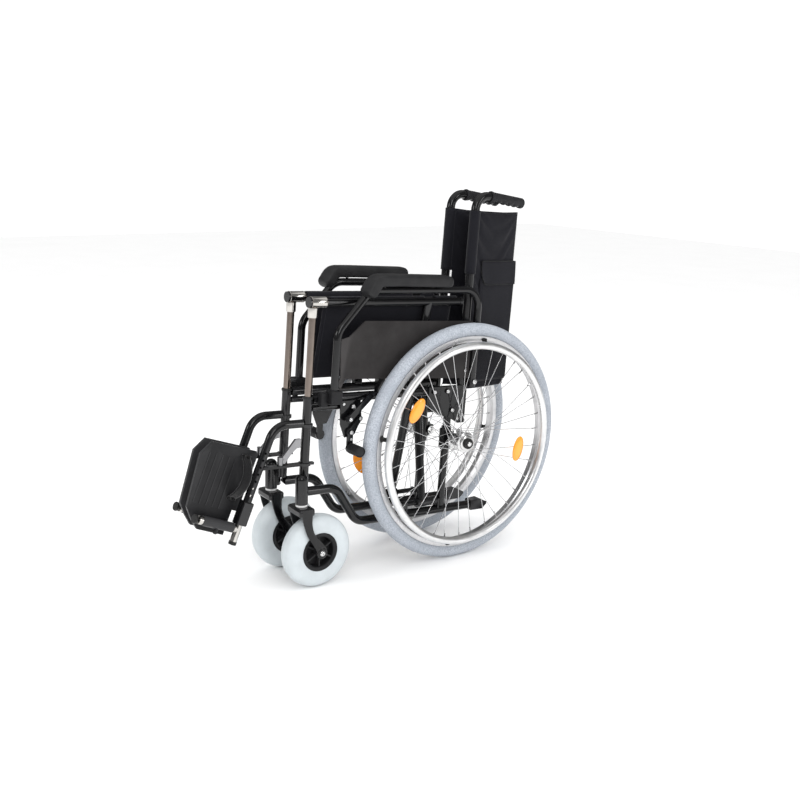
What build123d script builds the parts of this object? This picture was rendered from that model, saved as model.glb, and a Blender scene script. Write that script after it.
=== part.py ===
from build123d import *

import math
import os

# Folding manual wheelchair, modelled folded.
#
# Millimetres, +Z up. The user's left side is +X and the front is -Y. The chair is drawn about its
# rear axle: Y is 0 at the axle and Z is 0 on the floor, and everything moves back by ORIGIN_Y at
# the end, which puts the origin on the floor under the middle of the folded chair.
#
# The side frames lean back by RAKE. Their tubes are drawn in frame coordinates (x, u, v) with the
# origin on the axle: u runs rearwards along the rails and v upwards along the posts.

# Overall
RAKE = 3.1  # lean of the side frames, degrees
WHEEL_R = 305.0  # rear tyre outer radius, a 24 inch wheel
ORIGIN_Y = 210.07  # rear axle to the middle of the folded chair
RUN = 0.06  # radial clearance of a shaft that turns in its bore
GAP = 0.3  # air between bodies that pass each other

# Fold: two crossed arms between the lower pivots and the seat rails
HALF_FOLDED = 49.0  # side-frame plane from the middle, folded
HALF_OPEN = 194.0  # the same, unfolded
PIVOT_V = -166.0  # lower pivots of the cross arms
SEAT_V = 353.0  # seat rails, folded
ARM_R = 11.0
ARM_U = (-78.0, -105.0)  # arm a, arm b
ARM_RISE = SEAT_V - PIVOT_V
ARM_LENGTH = math.hypot(2 * HALF_FOLDED, ARM_RISE)
ARM_FOLDED = math.degrees(math.asin(2 * HALF_FOLDED / ARM_LENGTH))
ARM_OPEN = math.degrees(math.asin(2 * HALF_OPEN / ARM_LENGTH))
FOLD_ANGLE = ARM_OPEN - ARM_FOLDED
ARM_CENTRE_V = (PIVOT_V + SEAT_V) / 2
SEAT_V_OPEN = PIVOT_V + ARM_LENGTH * math.cos(math.radians(ARM_OPEN))
PIVOT_ROD_R = 6.0
PIVOT_ROD_U = (-130.0, -25.2)

# Frame tubes
FRAME_X = HALF_FOLDED
TUBE_R = 11.0
TUBE_WALL = 1.7
POST_U = -437.0
POST_V = (-85.6, 132.0)
UPPER_V = 126.0
BRACE_V = 105.0
LOWER_V = -191.5
LOWER_FRONT_V = -97.0
UPRIGHT_U = -15.0
UPRIGHT_R = 10.0
CANE_U = 20.0
CANE_V = 46.0
HANDLE_START = (20.0, 619.0)
HANDLE_END = (172.0, 603.0)
GRIP_R = 13.5
GRIP_LENGTH = 106.0
CRADLE_U = -235.0

# Seat rails and guide rods
RAIL_U = (-447.0, -7.0)
ROD_R = 8.8
ROD_BOTTOM_V = 80.0
TEE_R = 13.3
TEE_U = (-446.0, -406.0)

# Upholstery: each half is a sleeve round its tube and a flat panel to the crease
CLOTH = 2.2
SLEEVE_R = TUBE_R + 0.6 + CLOTH / 2  # middle of the cloth round the tube
SEAT_CLOTH_U = (-400.0, -20.0)
BACK_CLOTH_V = (122.0, 580.0)
SLEEVE_LOW_V = 392.0  # below this the cane is bare
CREASE_DEPTH = math.sqrt(HALF_OPEN**2 + SLEEVE_R**2 - HALF_FOLDED**2)
PANEL_ANGLE = math.degrees(
    math.atan2(HALF_FOLDED, CREASE_DEPTH) - math.atan2(SLEEVE_R, HALF_OPEN)
)

# Rear wheels
WHEEL_X = 98.9
TYRE_R = 17.5
RIM_R = 274.0
HANDRIM_X = 129.0
HANDRIM_R = 253.0
HANDRIM_TUBE_R = 9.5
STANDOFFS = 6
SPOKES = 36
SPOKE_R = 0.9
AXLE_R = 6.0
HUB_X = (74.0, 119.0)

# Casters
CASTER_R = 90.0
CASTER_WIDTH = 48.0
CASTER_X = 72.0
CASTER_Y = -418.5
STEM_Y = -458.5
STEM_R = 8.0
HOUSING_Z = (212.0, 270.0)
HOUSING_R = 15.0
CASTER_HUB_R = 43.0

# Hangers and footrests
HANGER_R = 10.0
HANGER_LEAN = 19.5  # the foot tube from upright
HANGER_TOP_V = 70.0
HANGER_FOOT = (-606.0, -165.0)  # where the footplate's rod meets the foot tube, (u, v)
HANGER_CORNER_U = HANGER_FOOT[0] + (HANGER_TOP_V - HANGER_FOOT[1]) * math.tan(math.radians(HANGER_LEAN))
CLAMP_Q = (10.0, 66.0)
FOOT_TUBE_R = 8.5
FOOTPLATE_TURN = 65.0
PLATE_THICK = 8.0
PLATE_IN = -32.0  # folded footplate, inboard of its rod
BARREL_P = (14.0, 95.0)  # the footplate's barrel along its rod
RING_P = (95.4, 105.4)  # bright ring that keeps the barrel on
LOOP_P = (15.0, 39.0)  # heel loop, across the plate
LOOP_Q = (60.0, 162.0)  # its two ends, up the plate
LOOP_REACH = 34.0  # its bulge off the plate

# Armrests
ARM_TUBE_R = 9.5
ARM_FRONT = (80.0, -386.0)  # x, u of the front leg
ARM_REAR = (71.4, 37.0)  # x, u of the rear leg, between the cane and the tyre
ARM_TOP_V = 385.0
ARM_PIVOT_V = 150.0
PAD_X = 93.0
GUARD_X = (66.6, 70.1)

# Brakes
LEVER_PIVOT = (-335.0, 78.0)
SHOE_PIVOT = (-326.0, 44.0)
SHOE_CENTRE = (-323.0, 5.0)
SHOE_R = 12.5

RAKED = Location((0, 0, WHEEL_R), (-RAKE, 0, 0))
HOME = Location((0, ORIGIN_Y, 0))


def rod(start, end, radius):
    """A round bar between two points."""
    axis = Vector(*end) - Vector(*start)
    bar = Cylinder(radius, axis.length, align=(Align.CENTER, Align.CENTER, Align.MIN))
    return Plane(origin=start, z_dir=axis) * bar


def ring(start, end, outer, inner):
    """A sleeve between two points."""
    return rod(start, end, outer) - rod(start, end, inner)


def block(x, u, v, edge=0.0):
    """A box from its low and high values along the three axes, with rounded edges if asked."""
    size = [high - low for low, high in (x, u, v)]
    middle = [(high + low) / 2 for low, high in (x, u, v)]
    solid = Pos(*middle) * Box(*size)
    return fillet(solid.edges(), edge) if edge else solid


def plate(outline, x):
    """A flat plate in the side-frame plane: outline in (u, v), between two x values."""
    plane = Plane(origin=(x[0], 0, 0), x_dir=(0, 1, 0), z_dir=(1, 0, 0))
    face = plane * make_face(Polyline(*outline, close=True))
    return extrude(face, amount=x[1] - x[0])


def tube(points, radii, radius, wall=TUBE_WALL):
    """A round tube along straight runs joined by tangent bends."""
    if radii:
        path = FilletPolyline(*points, radius=radii)
    else:
        path = Line(*points)
    section = Circle(radius) - Circle(radius - wall)
    return sweep(Plane(origin=path @ 0, z_dir=path % 0) * section, path=path)


def turned(outline, x):
    """A body turned about the X axis, from an outline in (x, radius), centred at x on the axle."""
    points = [(x + along, 0, radius) for along, radius in outline]
    return revolve(make_face(Polyline(*points, close=True)), Axis.X)


def one(shapes):
    """Fuses shapes that are one welded or moulded piece."""
    whole = shapes[0]
    for shape in shapes[1:]:
        whole = whole + shape
    return whole


# Side frame: front post with caster housing, lower rail, side frame, back cane, grip, socket


def front_post():
    tall = ring((FRAME_X, POST_U, POST_V[0]), (FRAME_X, POST_U, POST_V[1]), TUBE_R, ROD_R + 0.5)
    foot = rod((FRAME_X, POST_U, POST_V[0]), (FRAME_X, POST_U, POST_V[0] + 3), TUBE_R)
    post = RAKED * (tall + foot)
    bottom, top = HOUSING_Z
    housing = rod((CASTER_X, STEM_Y, bottom), (CASTER_X, STEM_Y, top), HOUSING_R)
    housing += Pos(CASTER_X, STEM_Y, top) * Sphere(HOUSING_R)
    web = Pos(60, -449, 246) * Rot(0, 0, -39) * Box(14, 12, 50)
    keep_clear = RAKED * rod((FRAME_X, POST_U, -82), (FRAME_X, POST_U, POST_V[1]), ROD_R + 0.5)
    bore = rod((CASTER_X, STEM_Y, bottom), (CASTER_X, STEM_Y, top - 8), STEM_R + RUN)
    return post + (housing + web - keep_clear - bore)


def lower_rail():
    path = [
        (FRAME_X, POST_U + 3, LOWER_FRONT_V),
        (FRAME_X, -345, LOWER_FRONT_V),
        (FRAME_X, -278, LOWER_V),
        (FRAME_X, 84, LOWER_V),
    ]
    rail = tube(path, [45, 45], TUBE_R)
    rail -= rod((FRAME_X, POST_U, POST_V[0] - 40), (FRAME_X, POST_U, POST_V[1]), TUBE_R + 0.02)
    tip = plate(
        [(80, -205), (80, -178), (112, -176), (136, -187), (136, -193), (122, -205)],
        (FRAME_X - 12, FRAME_X + 12),
    )
    tip = fillet(tip.edges().filter_by(Axis.X), 3)
    pivot = rod((FRAME_X, PIVOT_ROD_U[0], PIVOT_V), (FRAME_X, PIVOT_ROD_U[1], PIVOT_V), PIVOT_ROD_R)
    outline = [(-10, -196), (10, -196), (10, PIVOT_V + 6), (-10, PIVOT_V + 6)]
    ears = []
    for u in (-133, -31):
        plane = Plane(origin=(FRAME_X, u, 0), x_dir=(1, 0, 0), z_dir=(0, 1, 0))
        ear = extrude(plane * make_face(Polyline(*[(a, -b) for a, b in outline], close=True)), amount=5)
        ears.append(ear - rod((FRAME_X, u - 1, LOWER_V), (FRAME_X, u + 6, LOWER_V), TUBE_R - 1))
    return RAKED * one([rail, tip, pivot] + ears)


def side_frame():
    inner, outer = FRAME_X + TUBE_R + 0.2, FRAME_X + TUBE_R + 3.4
    upper = tube([(FRAME_X, POST_U + 11.2, UPPER_V), (FRAME_X, CANE_U - 11.2, UPPER_V)], None, TUBE_R)
    brace = tube([(FRAME_X, POST_U + 11.2, BRACE_V), (FRAME_X, -305, BRACE_V)], None, 7.5)
    upright = tube([(FRAME_X, UPRIGHT_U, LOWER_V + 11.1), (FRAME_X, UPRIGHT_U, UPPER_V - 6)], None, UPRIGHT_R)
    gusset = plate(
        [(-92, 138), (-92, 92), (-60, 66), (-24, 58), (8, 40), (30, 40), (30, 126), (16, 138)],
        (inner, outer),
    )
    bosses = [
        rod((FRAME_X, u, v), (outer + 4, u, v), 6)
        for u, v in ((-76, UPPER_V), (-34, UPPER_V), (UPRIGHT_U, 76))
    ]
    axle_block = plate([(-32, -20), (16, -14), (16, 14), (-32, 20)], (inner - 3, outer))
    axle_tube = rod((FRAME_X - 8, 0, 0), (HUB_X[0] - 1, 0, 0), 10)
    axle = rod((FRAME_X - 12, 0, 0), (HUB_X[1] + 3, 0, 0), AXLE_R)
    nut = extrude(Plane.YZ.offset(FRAME_X - 18) * RegularPolygon(10, 6), amount=10)
    axle_cap = rod((HUB_X[1] + 0.6, 0, 0), (HUB_X[1] + 7, 0, 0), 13.5)
    carrier = plate([(-30, -26), (14, -12), (14, 12), (-30, 26)], (FRAME_X - 8, FRAME_X - 4))
    spacer = ring((FRAME_X, UPRIGHT_U, -30), (FRAME_X, UPRIGHT_U, 30), 13, UPRIGHT_R - 1)
    brake_plate = plate(
        [(-356, 120), (-298, 120), (-292, 74), (-310, 36), (-338, 30), (-352, 62)],
        (inner, outer),
    )
    brake_bolts = [
        rod((inner, *LEVER_PIVOT), (79, *LEVER_PIVOT), 3.5),
        rod((inner, *SHOE_PIVOT), (72, *SHOE_PIVOT), 3.5),
        rod((79, *LEVER_PIVOT), (82, *LEVER_PIVOT), 6.5),
        rod((72, *SHOE_PIVOT), (75, *SHOE_PIVOT), 6),
        rod((FRAME_X, -320, BRACE_V), (outer + 4, -320, BRACE_V), 7),
    ]
    webs = [block((FRAME_X - 2, FRAME_X + 2), (u, u + 14), (BRACE_V, UPPER_V)) for u in (-420, -325)]
    webs = [web - rod((FRAME_X, -450, UPPER_V), (FRAME_X, -300, UPPER_V), TUBE_R - 1) for web in webs]
    webs = [web - rod((FRAME_X, -450, BRACE_V), (FRAME_X, -300, BRACE_V), 7) for web in webs]
    cradle_post = block((FRAME_X - 8, FRAME_X + 8), (CRADLE_U - 10, CRADLE_U + 10), (UPPER_V + 9, 177))
    low, top = SEAT_V_OPEN - 15.5, SEAT_V_OPEN + 6
    cradle = block((FRAME_X - 15.6, FRAME_X + 15.6), (CRADLE_U - 10, CRADLE_U + 10), (low - 3, top))
    cradle -= block((FRAME_X - 13.6, FRAME_X + 13.6), (CRADLE_U - 11, CRADLE_U + 11), (low, top + 1))
    pieces = [upper, brace, upright, gusset, axle_block, axle_tube, axle, nut, axle_cap, carrier, spacer]
    return RAKED * one(pieces + bosses + webs + [brake_plate, cradle_post, cradle] + brake_bolts)


def back_cane():
    path = [(FRAME_X, CANE_U, CANE_V), (FRAME_X, *HANDLE_START), (FRAME_X, *HANDLE_END)]
    cane = tube(path, [34], TUBE_R)
    bracket = plate(
        [(CANE_U, 128), (CANE_U, 172), (ARM_REAR[1] + 12, 164), (ARM_REAR[1] + 12, 136)],
        (FRAME_X + 4, FRAME_X + 8.6),
    )
    bracket -= rod((FRAME_X, CANE_U, 100), (FRAME_X, CANE_U, 200), TUBE_R - 1)
    pin = rod((FRAME_X + 6, ARM_REAR[1], ARM_PIVOT_V), (81.5, ARM_REAR[1], ARM_PIVOT_V), 4)
    head = rod((81, ARM_REAR[1], ARM_PIVOT_V), (83.5, ARM_REAR[1], ARM_PIVOT_V), 7)
    foot = rod((FRAME_X, CANE_U, CANE_V), (FRAME_X, CANE_U, CANE_V + 2.5), TUBE_R)
    return RAKED * one([cane, foot, bracket, pin, head])


def push_grip():
    axis = (Vector(FRAME_X, *HANDLE_END) - Vector(FRAME_X, *HANDLE_START)).normalized()
    end = Vector(FRAME_X, *HANDLE_END)
    start = end - axis * GRIP_LENGTH
    grip = rod(start, end + axis * 5, GRIP_R)
    down = Vector(0, -axis.Z, axis.Y) * -1
    for knuckle in range(4):
        middle = start + axis * (18 + 24 * knuckle) + down * (GRIP_R + 22)
        grip -= rod(middle - Vector(20, 0, 0), middle + Vector(20, 0, 0), 24.5)
    grip += rod(start - axis * 4, start + axis * 2, GRIP_R + 1.5)
    return RAKED * (grip - rod(start - axis * 6, end, TUBE_R + 0.05))


def armrest_socket():
    x, u = ARM_FRONT
    body = block((65, 95), (u - 15, u + 15), (119, 152), 2.5)
    arm = block((60.3, 70), (u - 13, u + 13), (115, 137))
    cover = block((60.4, 79), (u - 32, u - 14), (112, 146), 3)
    hole = rod((x, u, 127), (x, u, 160), ARM_TUBE_R + 1.3)
    return RAKED * (one([body, arm, cover]) - hole)


# Guide rods, seat rails and cross arms


def guide_rod():
    bar = rod((FRAME_X, POST_U, ROD_BOTTOM_V), (FRAME_X, POST_U, SEAT_V - 5), ROD_R)
    tee = rod((FRAME_X, TEE_U[0], SEAT_V), (FRAME_X, TEE_U[1], SEAT_V), TEE_R)
    bore = rod((FRAME_X, TEE_U[0] - 1, SEAT_V), (FRAME_X, TEE_U[1] + 1, SEAT_V), TUBE_R + RUN)
    collar = rod((FRAME_X, POST_U, SEAT_V - 34), (FRAME_X, POST_U, SEAT_V - 13.5), ROD_R + 2)
    return RAKED * (bar + tee + collar - bore)


def seat_rail():
    rail = tube([(FRAME_X, RAIL_U[0], SEAT_V), (FRAME_X, RAIL_U[1], SEAT_V)], None, TUBE_R)
    front = rod((FRAME_X, TEE_U[0] - 5, SEAT_V), (FRAME_X, TEE_U[0] - GAP, SEAT_V), TUBE_R + 1.5)
    rear = rod((FRAME_X, RAIL_U[1] - 4, SEAT_V), (FRAME_X, RAIL_U[1] + 3, SEAT_V), TUBE_R + 1)
    return RAKED * one([rail, front, rear])


def cross_arm(index):
    """Arm a joins the left lower pivot to the right seat rail, and arm b the other two."""
    side = 1 if index == 0 else -1
    u = ARM_U[index]
    foot, head = (side * FRAME_X, u, PIVOT_V), (-side * FRAME_X, u, SEAT_V)
    arm = rod(foot, head, ARM_R)
    if index == 0:
        sleeve = rod((foot[0], u - 17, PIVOT_V), (foot[0], u + 45, PIVOT_V), 11.5)
    else:
        sleeve = rod((foot[0], u - 17, PIVOT_V), (foot[0], u + 17, PIVOT_V), 11.5)
    bore = rod((foot[0], u - 60, PIVOT_V), (foot[0], u + 60, PIVOT_V), PIVOT_ROD_R + RUN)
    saddle = rod((head[0], u - 40, SEAT_V), (head[0], u + 40, SEAT_V), TUBE_R + 0.02)
    arm = arm + sleeve - bore - saddle
    bolt = (0, ARM_U[1] - 19, ARM_CENTRE_V), (0, ARM_U[0] + 14, ARM_CENTRE_V)
    if index == 0:
        washer = rod((0, u - 13.2, ARM_CENTRE_V), (0, u, ARM_CENTRE_V), 9)
        arm += rod(*bolt, 5) + washer
        arm += rod(bolt[0], (0, ARM_U[1] - 14, ARM_CENTRE_V), 9)
    else:
        arm += rod((0, u - 12.5, ARM_CENTRE_V), (0, u + 12.5, ARM_CENTRE_V), 10)
        arm -= rod(*bolt, 5 + RUN)
    return RAKED * arm


# Upholstery halves, as closed cloth solids


def cloth_half(low, high):
    """One half in a plane across its tube: the tube is at (FRAME_X, 0) and the crease at x = 0,
    CREASE_DEPTH further along local y. The profile is extruded along local z."""
    angle = math.radians(PANEL_ANGLE)
    along = Vector(-math.sin(angle), math.cos(angle))
    across = Vector(-math.cos(angle), -math.sin(angle))
    centre = Vector(FRAME_X, 0)
    inner, outer = SLEEVE_R - CLOTH / 2, SLEEVE_R + CLOTH / 2
    corners = [
        centre + across * inner,
        centre + across * outer,
        centre + across * outer + along * (HALF_OPEN + 10),
        centre + across * inner + along * (HALF_OPEN + 10),
    ]
    panel = make_face(Polyline(*corners, close=True))
    sleeve = Pos(FRAME_X, 0) * (Circle(outer) - Circle(inner))
    profile = panel + sleeve
    profile &= Pos(100.4, 100) * Rectangle(200, 500)
    return Pos(0, 0, low) * extrude(profile, amount=high - low)


def seat_half():
    low, high = SEAT_CLOTH_U
    cloth = cloth_half(low, high)
    # local y points down from the rail and local z rearwards
    frame = Plane(origin=(0, 0, SEAT_V), x_dir=(1, 0, 0), z_dir=(0, 1, 0))
    cloth = frame * cloth
    foot, head = (-FRAME_X, ARM_U[1], PIVOT_V), (FRAME_X, ARM_U[1], SEAT_V)
    for u in ARM_U:
        window = rod((foot[0], u, foot[2]), (head[0], u, head[2]), ARM_R + 0.55)
        cloth -= window
    return RAKED * cloth


def back_half():
    low, high = BACK_CLOTH_V
    cloth = cloth_half(low, high)
    cloth = Pos(0, CANE_U, 0) * cloth
    bare = rod((FRAME_X, CANE_U, low - 1), (FRAME_X, CANE_U, SLEEVE_LOW_V), SLEEVE_R + CLOTH / 2 + 0.4)
    return RAKED * (cloth - bare)


# Armrest, hinged on the cane


def armrest_tube():
    path = [
        (ARM_FRONT[0], ARM_FRONT[1], 130),
        (ARM_FRONT[0], ARM_FRONT[1], 288),
        (ARM_FRONT[0], -300, ARM_TOP_V),
        (ARM_REAR[0], ARM_REAR[1], ARM_TOP_V),
        (ARM_REAR[0], ARM_REAR[1], ARM_PIVOT_V - 14),
    ]
    bar = tube(path, [50, 50, 48], ARM_TUBE_R)
    ends = [
        rod(path[0], (ARM_FRONT[0], ARM_FRONT[1], 133), ARM_TUBE_R),
        rod((*ARM_REAR, ARM_PIVOT_V - 14), (*ARM_REAR, ARM_PIVOT_V + 14), ARM_TUBE_R),
    ]
    bore = rod((50, ARM_REAR[1], ARM_PIVOT_V), (90, ARM_REAR[1], ARM_PIVOT_V), 4 + RUN)
    return RAKED * (one([bar] + ends) - bore)


def armrest_pad():
    outline = [(-334, 360), (-322, 418), (-300, 425), (-80, 420), (-76, 400), (-84, 394.8), (-296, 394.8)]
    pad = plate(outline, (PAD_X - 24, PAD_X + 24))
    pad = fillet(pad.edges().filter_by(Axis.X), 5)
    tube_path = [
        (ARM_FRONT[0], ARM_FRONT[1], 288),
        (ARM_FRONT[0], -300, ARM_TOP_V),
        (ARM_REAR[0], ARM_REAR[1], ARM_TOP_V),
    ]
    channel = tube(tube_path, [50], ARM_TUBE_R + 0.05, ARM_TUBE_R)
    return RAKED * (pad - channel)


def side_guard():
    outline = [(-363, 175), (-370, 268), (-346, 274), (-304, 311), (25.7, 305), (25.7, 158)]
    panel = plate(outline, GUARD_X)
    fin = plate([(-349, 212), (-336, 200), (-362, 152), (-372, 160)], (GUARD_X[0], GUARD_X[1]))
    rivets = [rod((GUARD_X[0] - 1.5, u, v), (GUARD_X[1] + 1.5, u, v), 4) for u, v in ((14, 178), (14, 286))]
    return RAKED * one([panel, fin] + rivets)


# Brake


def brake_lever():
    u, v = LEVER_PIVOT
    turn = math.radians(43)
    tip = (u + 84 * math.cos(turn), v + 84 * math.sin(turn))
    side = (-7 * math.sin(turn), 7 * math.cos(turn))
    outline = [
        (u + side[0], v + side[1]),
        (u - side[0], v - side[1]),
        (tip[0] - side[0], tip[1] - side[1]),
        (tip[0] + side[0], tip[1] + side[1]),
    ]
    bar = plate(outline, (72.6, 78)) + rod((72.6, u, v), (78, u, v), 8.5)
    bar += rod((72.6, *tip), (78, *tip), 7) + rod((78, *tip), (82, *tip), 4.5)
    return RAKED * (bar - rod((60, u, v), (90, u, v), 3.5 + RUN))


def brake_shoe():
    u, v = SHOE_PIVOT
    top = (-300.0, 76.0)
    arm = plate([(u - 8, v), (u + 8, v), (SHOE_CENTRE[0] + 6, SHOE_CENTRE[1]), (SHOE_CENTRE[0] - 10, SHOE_CENTRE[1])], (65.2, 70))
    arm += rod((65.2, u, v), (70, u, v), 9)
    arm += plate([(u - 4, v + 6), (u + 6, v - 4), (top[0] + 5, top[1] - 3), (top[0] - 5, top[1] + 3)], (65.2, 70))
    arm += rod((65.2, *top), (71.6, *top), 6)
    arm -= rod((60, u, v), (80, u, v), 3.5 + RUN)
    shoe = rod((65.2, *SHOE_CENTRE), (112, *SHOE_CENTRE), SHOE_R)
    return RAKED * (arm + fillet(shoe.edges(), 2))


# Hanger and footrest

FOOT_T = Vector(0, math.sin(math.radians(HANGER_LEAN)), math.cos(math.radians(HANGER_LEAN)))
FOOT_P = Vector(0, -FOOT_T.Z, FOOT_T.Y)
FOOT_O = Vector(FRAME_X, *HANGER_FOOT)


def on_foot(p, q, x=0.0):
    """A point on the footrest: p forward along the footplate's rod, q up the foot tube."""
    return FOOT_O + FOOT_P * p + FOOT_T * q + Vector(x, 0, 0)


FOOT_PLANE = Plane(origin=FOOT_O, x_dir=FOOT_P, z_dir=FOOT_P.cross(FOOT_T))


def hanger_tube():
    path = [
        (FRAME_X, POST_U - 12.5, HANGER_TOP_V),
        (FRAME_X, HANGER_CORNER_U, HANGER_TOP_V),
        on_foot(0, CLAMP_Q[0] + 2),
    ]
    bar = tube(path, [45], HANGER_R, 1.4)
    clamp = FOOT_PLANE * Pos(0, sum(CLAMP_Q) / 2, 0) * Box(27, CLAMP_Q[1] - CLAMP_Q[0], 25)
    clamp = fillet(clamp.edges(), 3) - rod(on_foot(0, 0), on_foot(0, 80), FOOT_TUBE_R + 0.05)
    eyes = [
        ring((FRAME_X, POST_U, low), (FRAME_X, POST_U, low + tall), 15, TUBE_R + GAP)
        for low, tall in ((HANGER_TOP_V - 8, 7), (-31, 6))
    ]
    strap = block((FRAME_X - 3, FRAME_X + 3), (POST_U - 24, POST_U - 12.5), (HANGER_TOP_V - 8, HANGER_TOP_V - 1))
    low_strap = block((FRAME_X - 8, FRAME_X + 8), (-552, POST_U - 12), (-31, -25))
    tail = block((FRAME_X - 5, FRAME_X + 5), (POST_U + 12.5, POST_U + 24), (-31, -25))
    holes = []
    for step in range(7):
        middle = on_foot(-4, 84 + 17 * step)
        holes.append(rod(middle - Vector(16, -12, 0), middle + Vector(16, -12, 0), 2.6))
    keep = rod((FRAME_X, POST_U, -50), (FRAME_X, POST_U, 100), TUBE_R + GAP)
    solid = one([bar, clamp, strap, low_strap, tail] + eyes) - keep
    pin = rod((FRAME_X, -503, -29), (FRAME_X, -503, -8), 3)
    return RAKED * (solid + pin - one(holes))


def foot_tube():
    inner = ring(on_foot(0, -34), on_foot(0, 108), FOOT_TUBE_R, FOOT_TUBE_R - 1.5)
    plug = rod(on_foot(0, -34), on_foot(0, -28), FOOT_TUBE_R)
    pivot = rod(on_foot(0, 0), on_foot(RING_P[1], 0), 7)
    collar = rod(on_foot(5, 0), on_foot(BARREL_P[0] - 0.4, 0), 9.6)
    end = rod(on_foot(RING_P[0], 0), on_foot(RING_P[1], 0), 10)
    return RAKED * one([inner, plug, pivot, collar, end])


def footplate():
    half = PLATE_THICK / 2
    outline = [
        (14, -27), (84, -27), (107, -7), (127, 16), (140, 140), (121, 173), (4, 179), (-2, 173), (-2, 34), (14, 34),
    ]
    plane = FOOT_PLANE * Pos(0, 0, -PLATE_IN)
    sheet = plane * extrude(make_face(Polyline(*outline, close=True)), amount=half, both=True)
    barrel = rod(on_foot(BARREL_P[0], 0), on_foot(BARREL_P[1], 0), 11.5)
    lugs = []
    for p in (24, 81):
        lugs.append(FOOT_PLANE * Pos(p, 0, -PLATE_IN / 2 - half / 2) * Box(14, 16, -PLATE_IN - half))
    ribs = []
    for step in range(5):
        p = 50 + 17 * step
        ribs.append(plane * Pos(p, 90, -half - 0.6) * Box(2, 120, 1.4))
    bore = rod(on_foot(0, 0), on_foot(130, 0), 7 + RUN)
    clear_end = rod(on_foot(RING_P[0] - 0.4, 0), on_foot(150, 0), 10.5)
    bolt = rod(on_foot(53, -20), on_foot(53, -8), 5)
    return RAKED * (one([sheet, barrel, bolt] + lugs + ribs) - bore - clear_end)


def heel_loop():
    low, high = LOOP_Q
    half = (high - low) / 2
    radius = (half**2 + LOOP_REACH**2) / (2 * LOOP_REACH)
    middle_q = (low + high) / 2
    face = PLATE_IN + PLATE_THICK / 2
    plane = Plane(origin=on_foot(LOOP_P[0], middle_q, face + 1.7), x_dir=FOOT_T, z_dir=FOOT_P)
    toward = plane.y_dir.X
    centre = Pos(0, -(radius - LOOP_REACH) * toward)
    arc = centre * (Circle(radius + 1) - Circle(radius - 1))
    keep = Pos(0, (LOOP_REACH / 2 + 1) * toward) * Rectangle(2 * half, LOOP_REACH + 2.2)
    band = extrude(plane * (arc & keep), amount=LOOP_P[1] - LOOP_P[0])
    pads = []
    for q in (low, high):
        pads.append(FOOT_PLANE * Pos(sum(LOOP_P) / 2, q, -face - 1.2) * Box(24, 16, 2.2))
    return RAKED * one([band] + pads)


def hanger_lever():
    outline = [
        (-509, -22), (-492, -22), (-474, 2), (-462, 12), (-452, 13),
        (-452, 34), (-466, 34), (-482, 14), (-500, -8), (-509, -8),
    ]
    arm = plate(outline, (FRAME_X - 3.5, FRAME_X + 3.5))
    hub = rod((FRAME_X, -503, -24.6), (FRAME_X, -503, -6), 7)
    bore = rod((FRAME_X, -503, -40), (FRAME_X, -503, -7.5), 3 + RUN)
    return RAKED * (arm + hub - bore)


# Casters, upright in the chair


def caster_fork():
    stem_x = CASTER_X
    top = HOUSING_Z[0] - 0.4
    stem = rod((stem_x, STEM_Y, top - 20), (stem_x, STEM_Y, HOUSING_Z[1] - 12), STEM_R)
    washer = rod((stem_x, STEM_Y, top - 6), (stem_x, STEM_Y, top), 13)
    half = CASTER_WIDTH / 2 + 2.5
    crown = block((stem_x - half - 5, stem_x + half + 5), (STEM_Y - 22, STEM_Y + 24), (top - 24, top - 5), 5)
    outline = [
        (STEM_Y - 20, top - 16), (STEM_Y - 4, top - 9), (STEM_Y + 22, top - 10), (STEM_Y + 38, 160),
        (CASTER_Y + 16, 128), (CASTER_Y + 14, 90), (CASTER_Y - 14, 90), (CASTER_Y - 16, 118),
        (STEM_Y + 8, 150), (STEM_Y - 14, 176),
    ]
    legs = []
    for low, high in ((-half - 5, -half), (half, half + 5)):
        leg = plate(outline, (stem_x + low, stem_x + high))
        leg = fillet(leg.edges().filter_by(Axis.X), 4)
        boss = rod((stem_x + low, CASTER_Y, 90), (stem_x + high, CASTER_Y, 90), 14)
        legs.append(leg + boss)
    axle = rod((stem_x - half - 8, CASTER_Y, 90), (stem_x + half + 8, CASTER_Y, 90), 4)
    heads = [
        rod((stem_x + s * (half + 4), CASTER_Y, 90), (stem_x + s * (half + 9), CASTER_Y, 90), 7)
        for s in (-1, 1)
    ]
    return one([stem, washer, crown, axle] + legs + heads)


def caster_tyre():
    half = CASTER_WIDTH / 2
    inner = CASTER_HUB_R + 0.02
    section = make_face(
        Polyline((-half, 0, inner), (half, 0, inner), (half, 0, 70), (-half, 0, 70), close=True)
    )
    tread = Plane.XZ * Pos(0, 68) * Ellipse(half, CASTER_R - 68)
    solid = revolve(section, Axis.X) + revolve(tread, Axis.X)
    solid -= rod((-40, 0, 0), (40, 0, 0), inner)
    return Pos(CASTER_X, CASTER_Y, CASTER_R) * solid


def caster_hub():
    half = CASTER_WIDTH / 2
    barrel = rod((-half + 3, 0, 0), (half - 3, 0, 0), CASTER_HUB_R)
    for side in (-1, 1):
        pocket = rod((side * 6, 0, 0), (side * 40, 0, 0), CASTER_HUB_R - 4)
        pocket -= rod((0, 0, 0), (side * 40, 0, 0), 15)
        for step in range(6):
            pocket -= Rot(60 * step, 0, 0) * block((-40, 40), (-1.8, 1.8), (0, 60))
        barrel -= pocket
    core = rod((-half - 1.8, 0, 0), (half + 1.8, 0, 0), 10)
    hub = barrel + core - rod((-40, 0, 0), (40, 0, 0), 4 + RUN)
    return Pos(CASTER_X, CASTER_Y, CASTER_R) * hub


# Rear wheels


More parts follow.
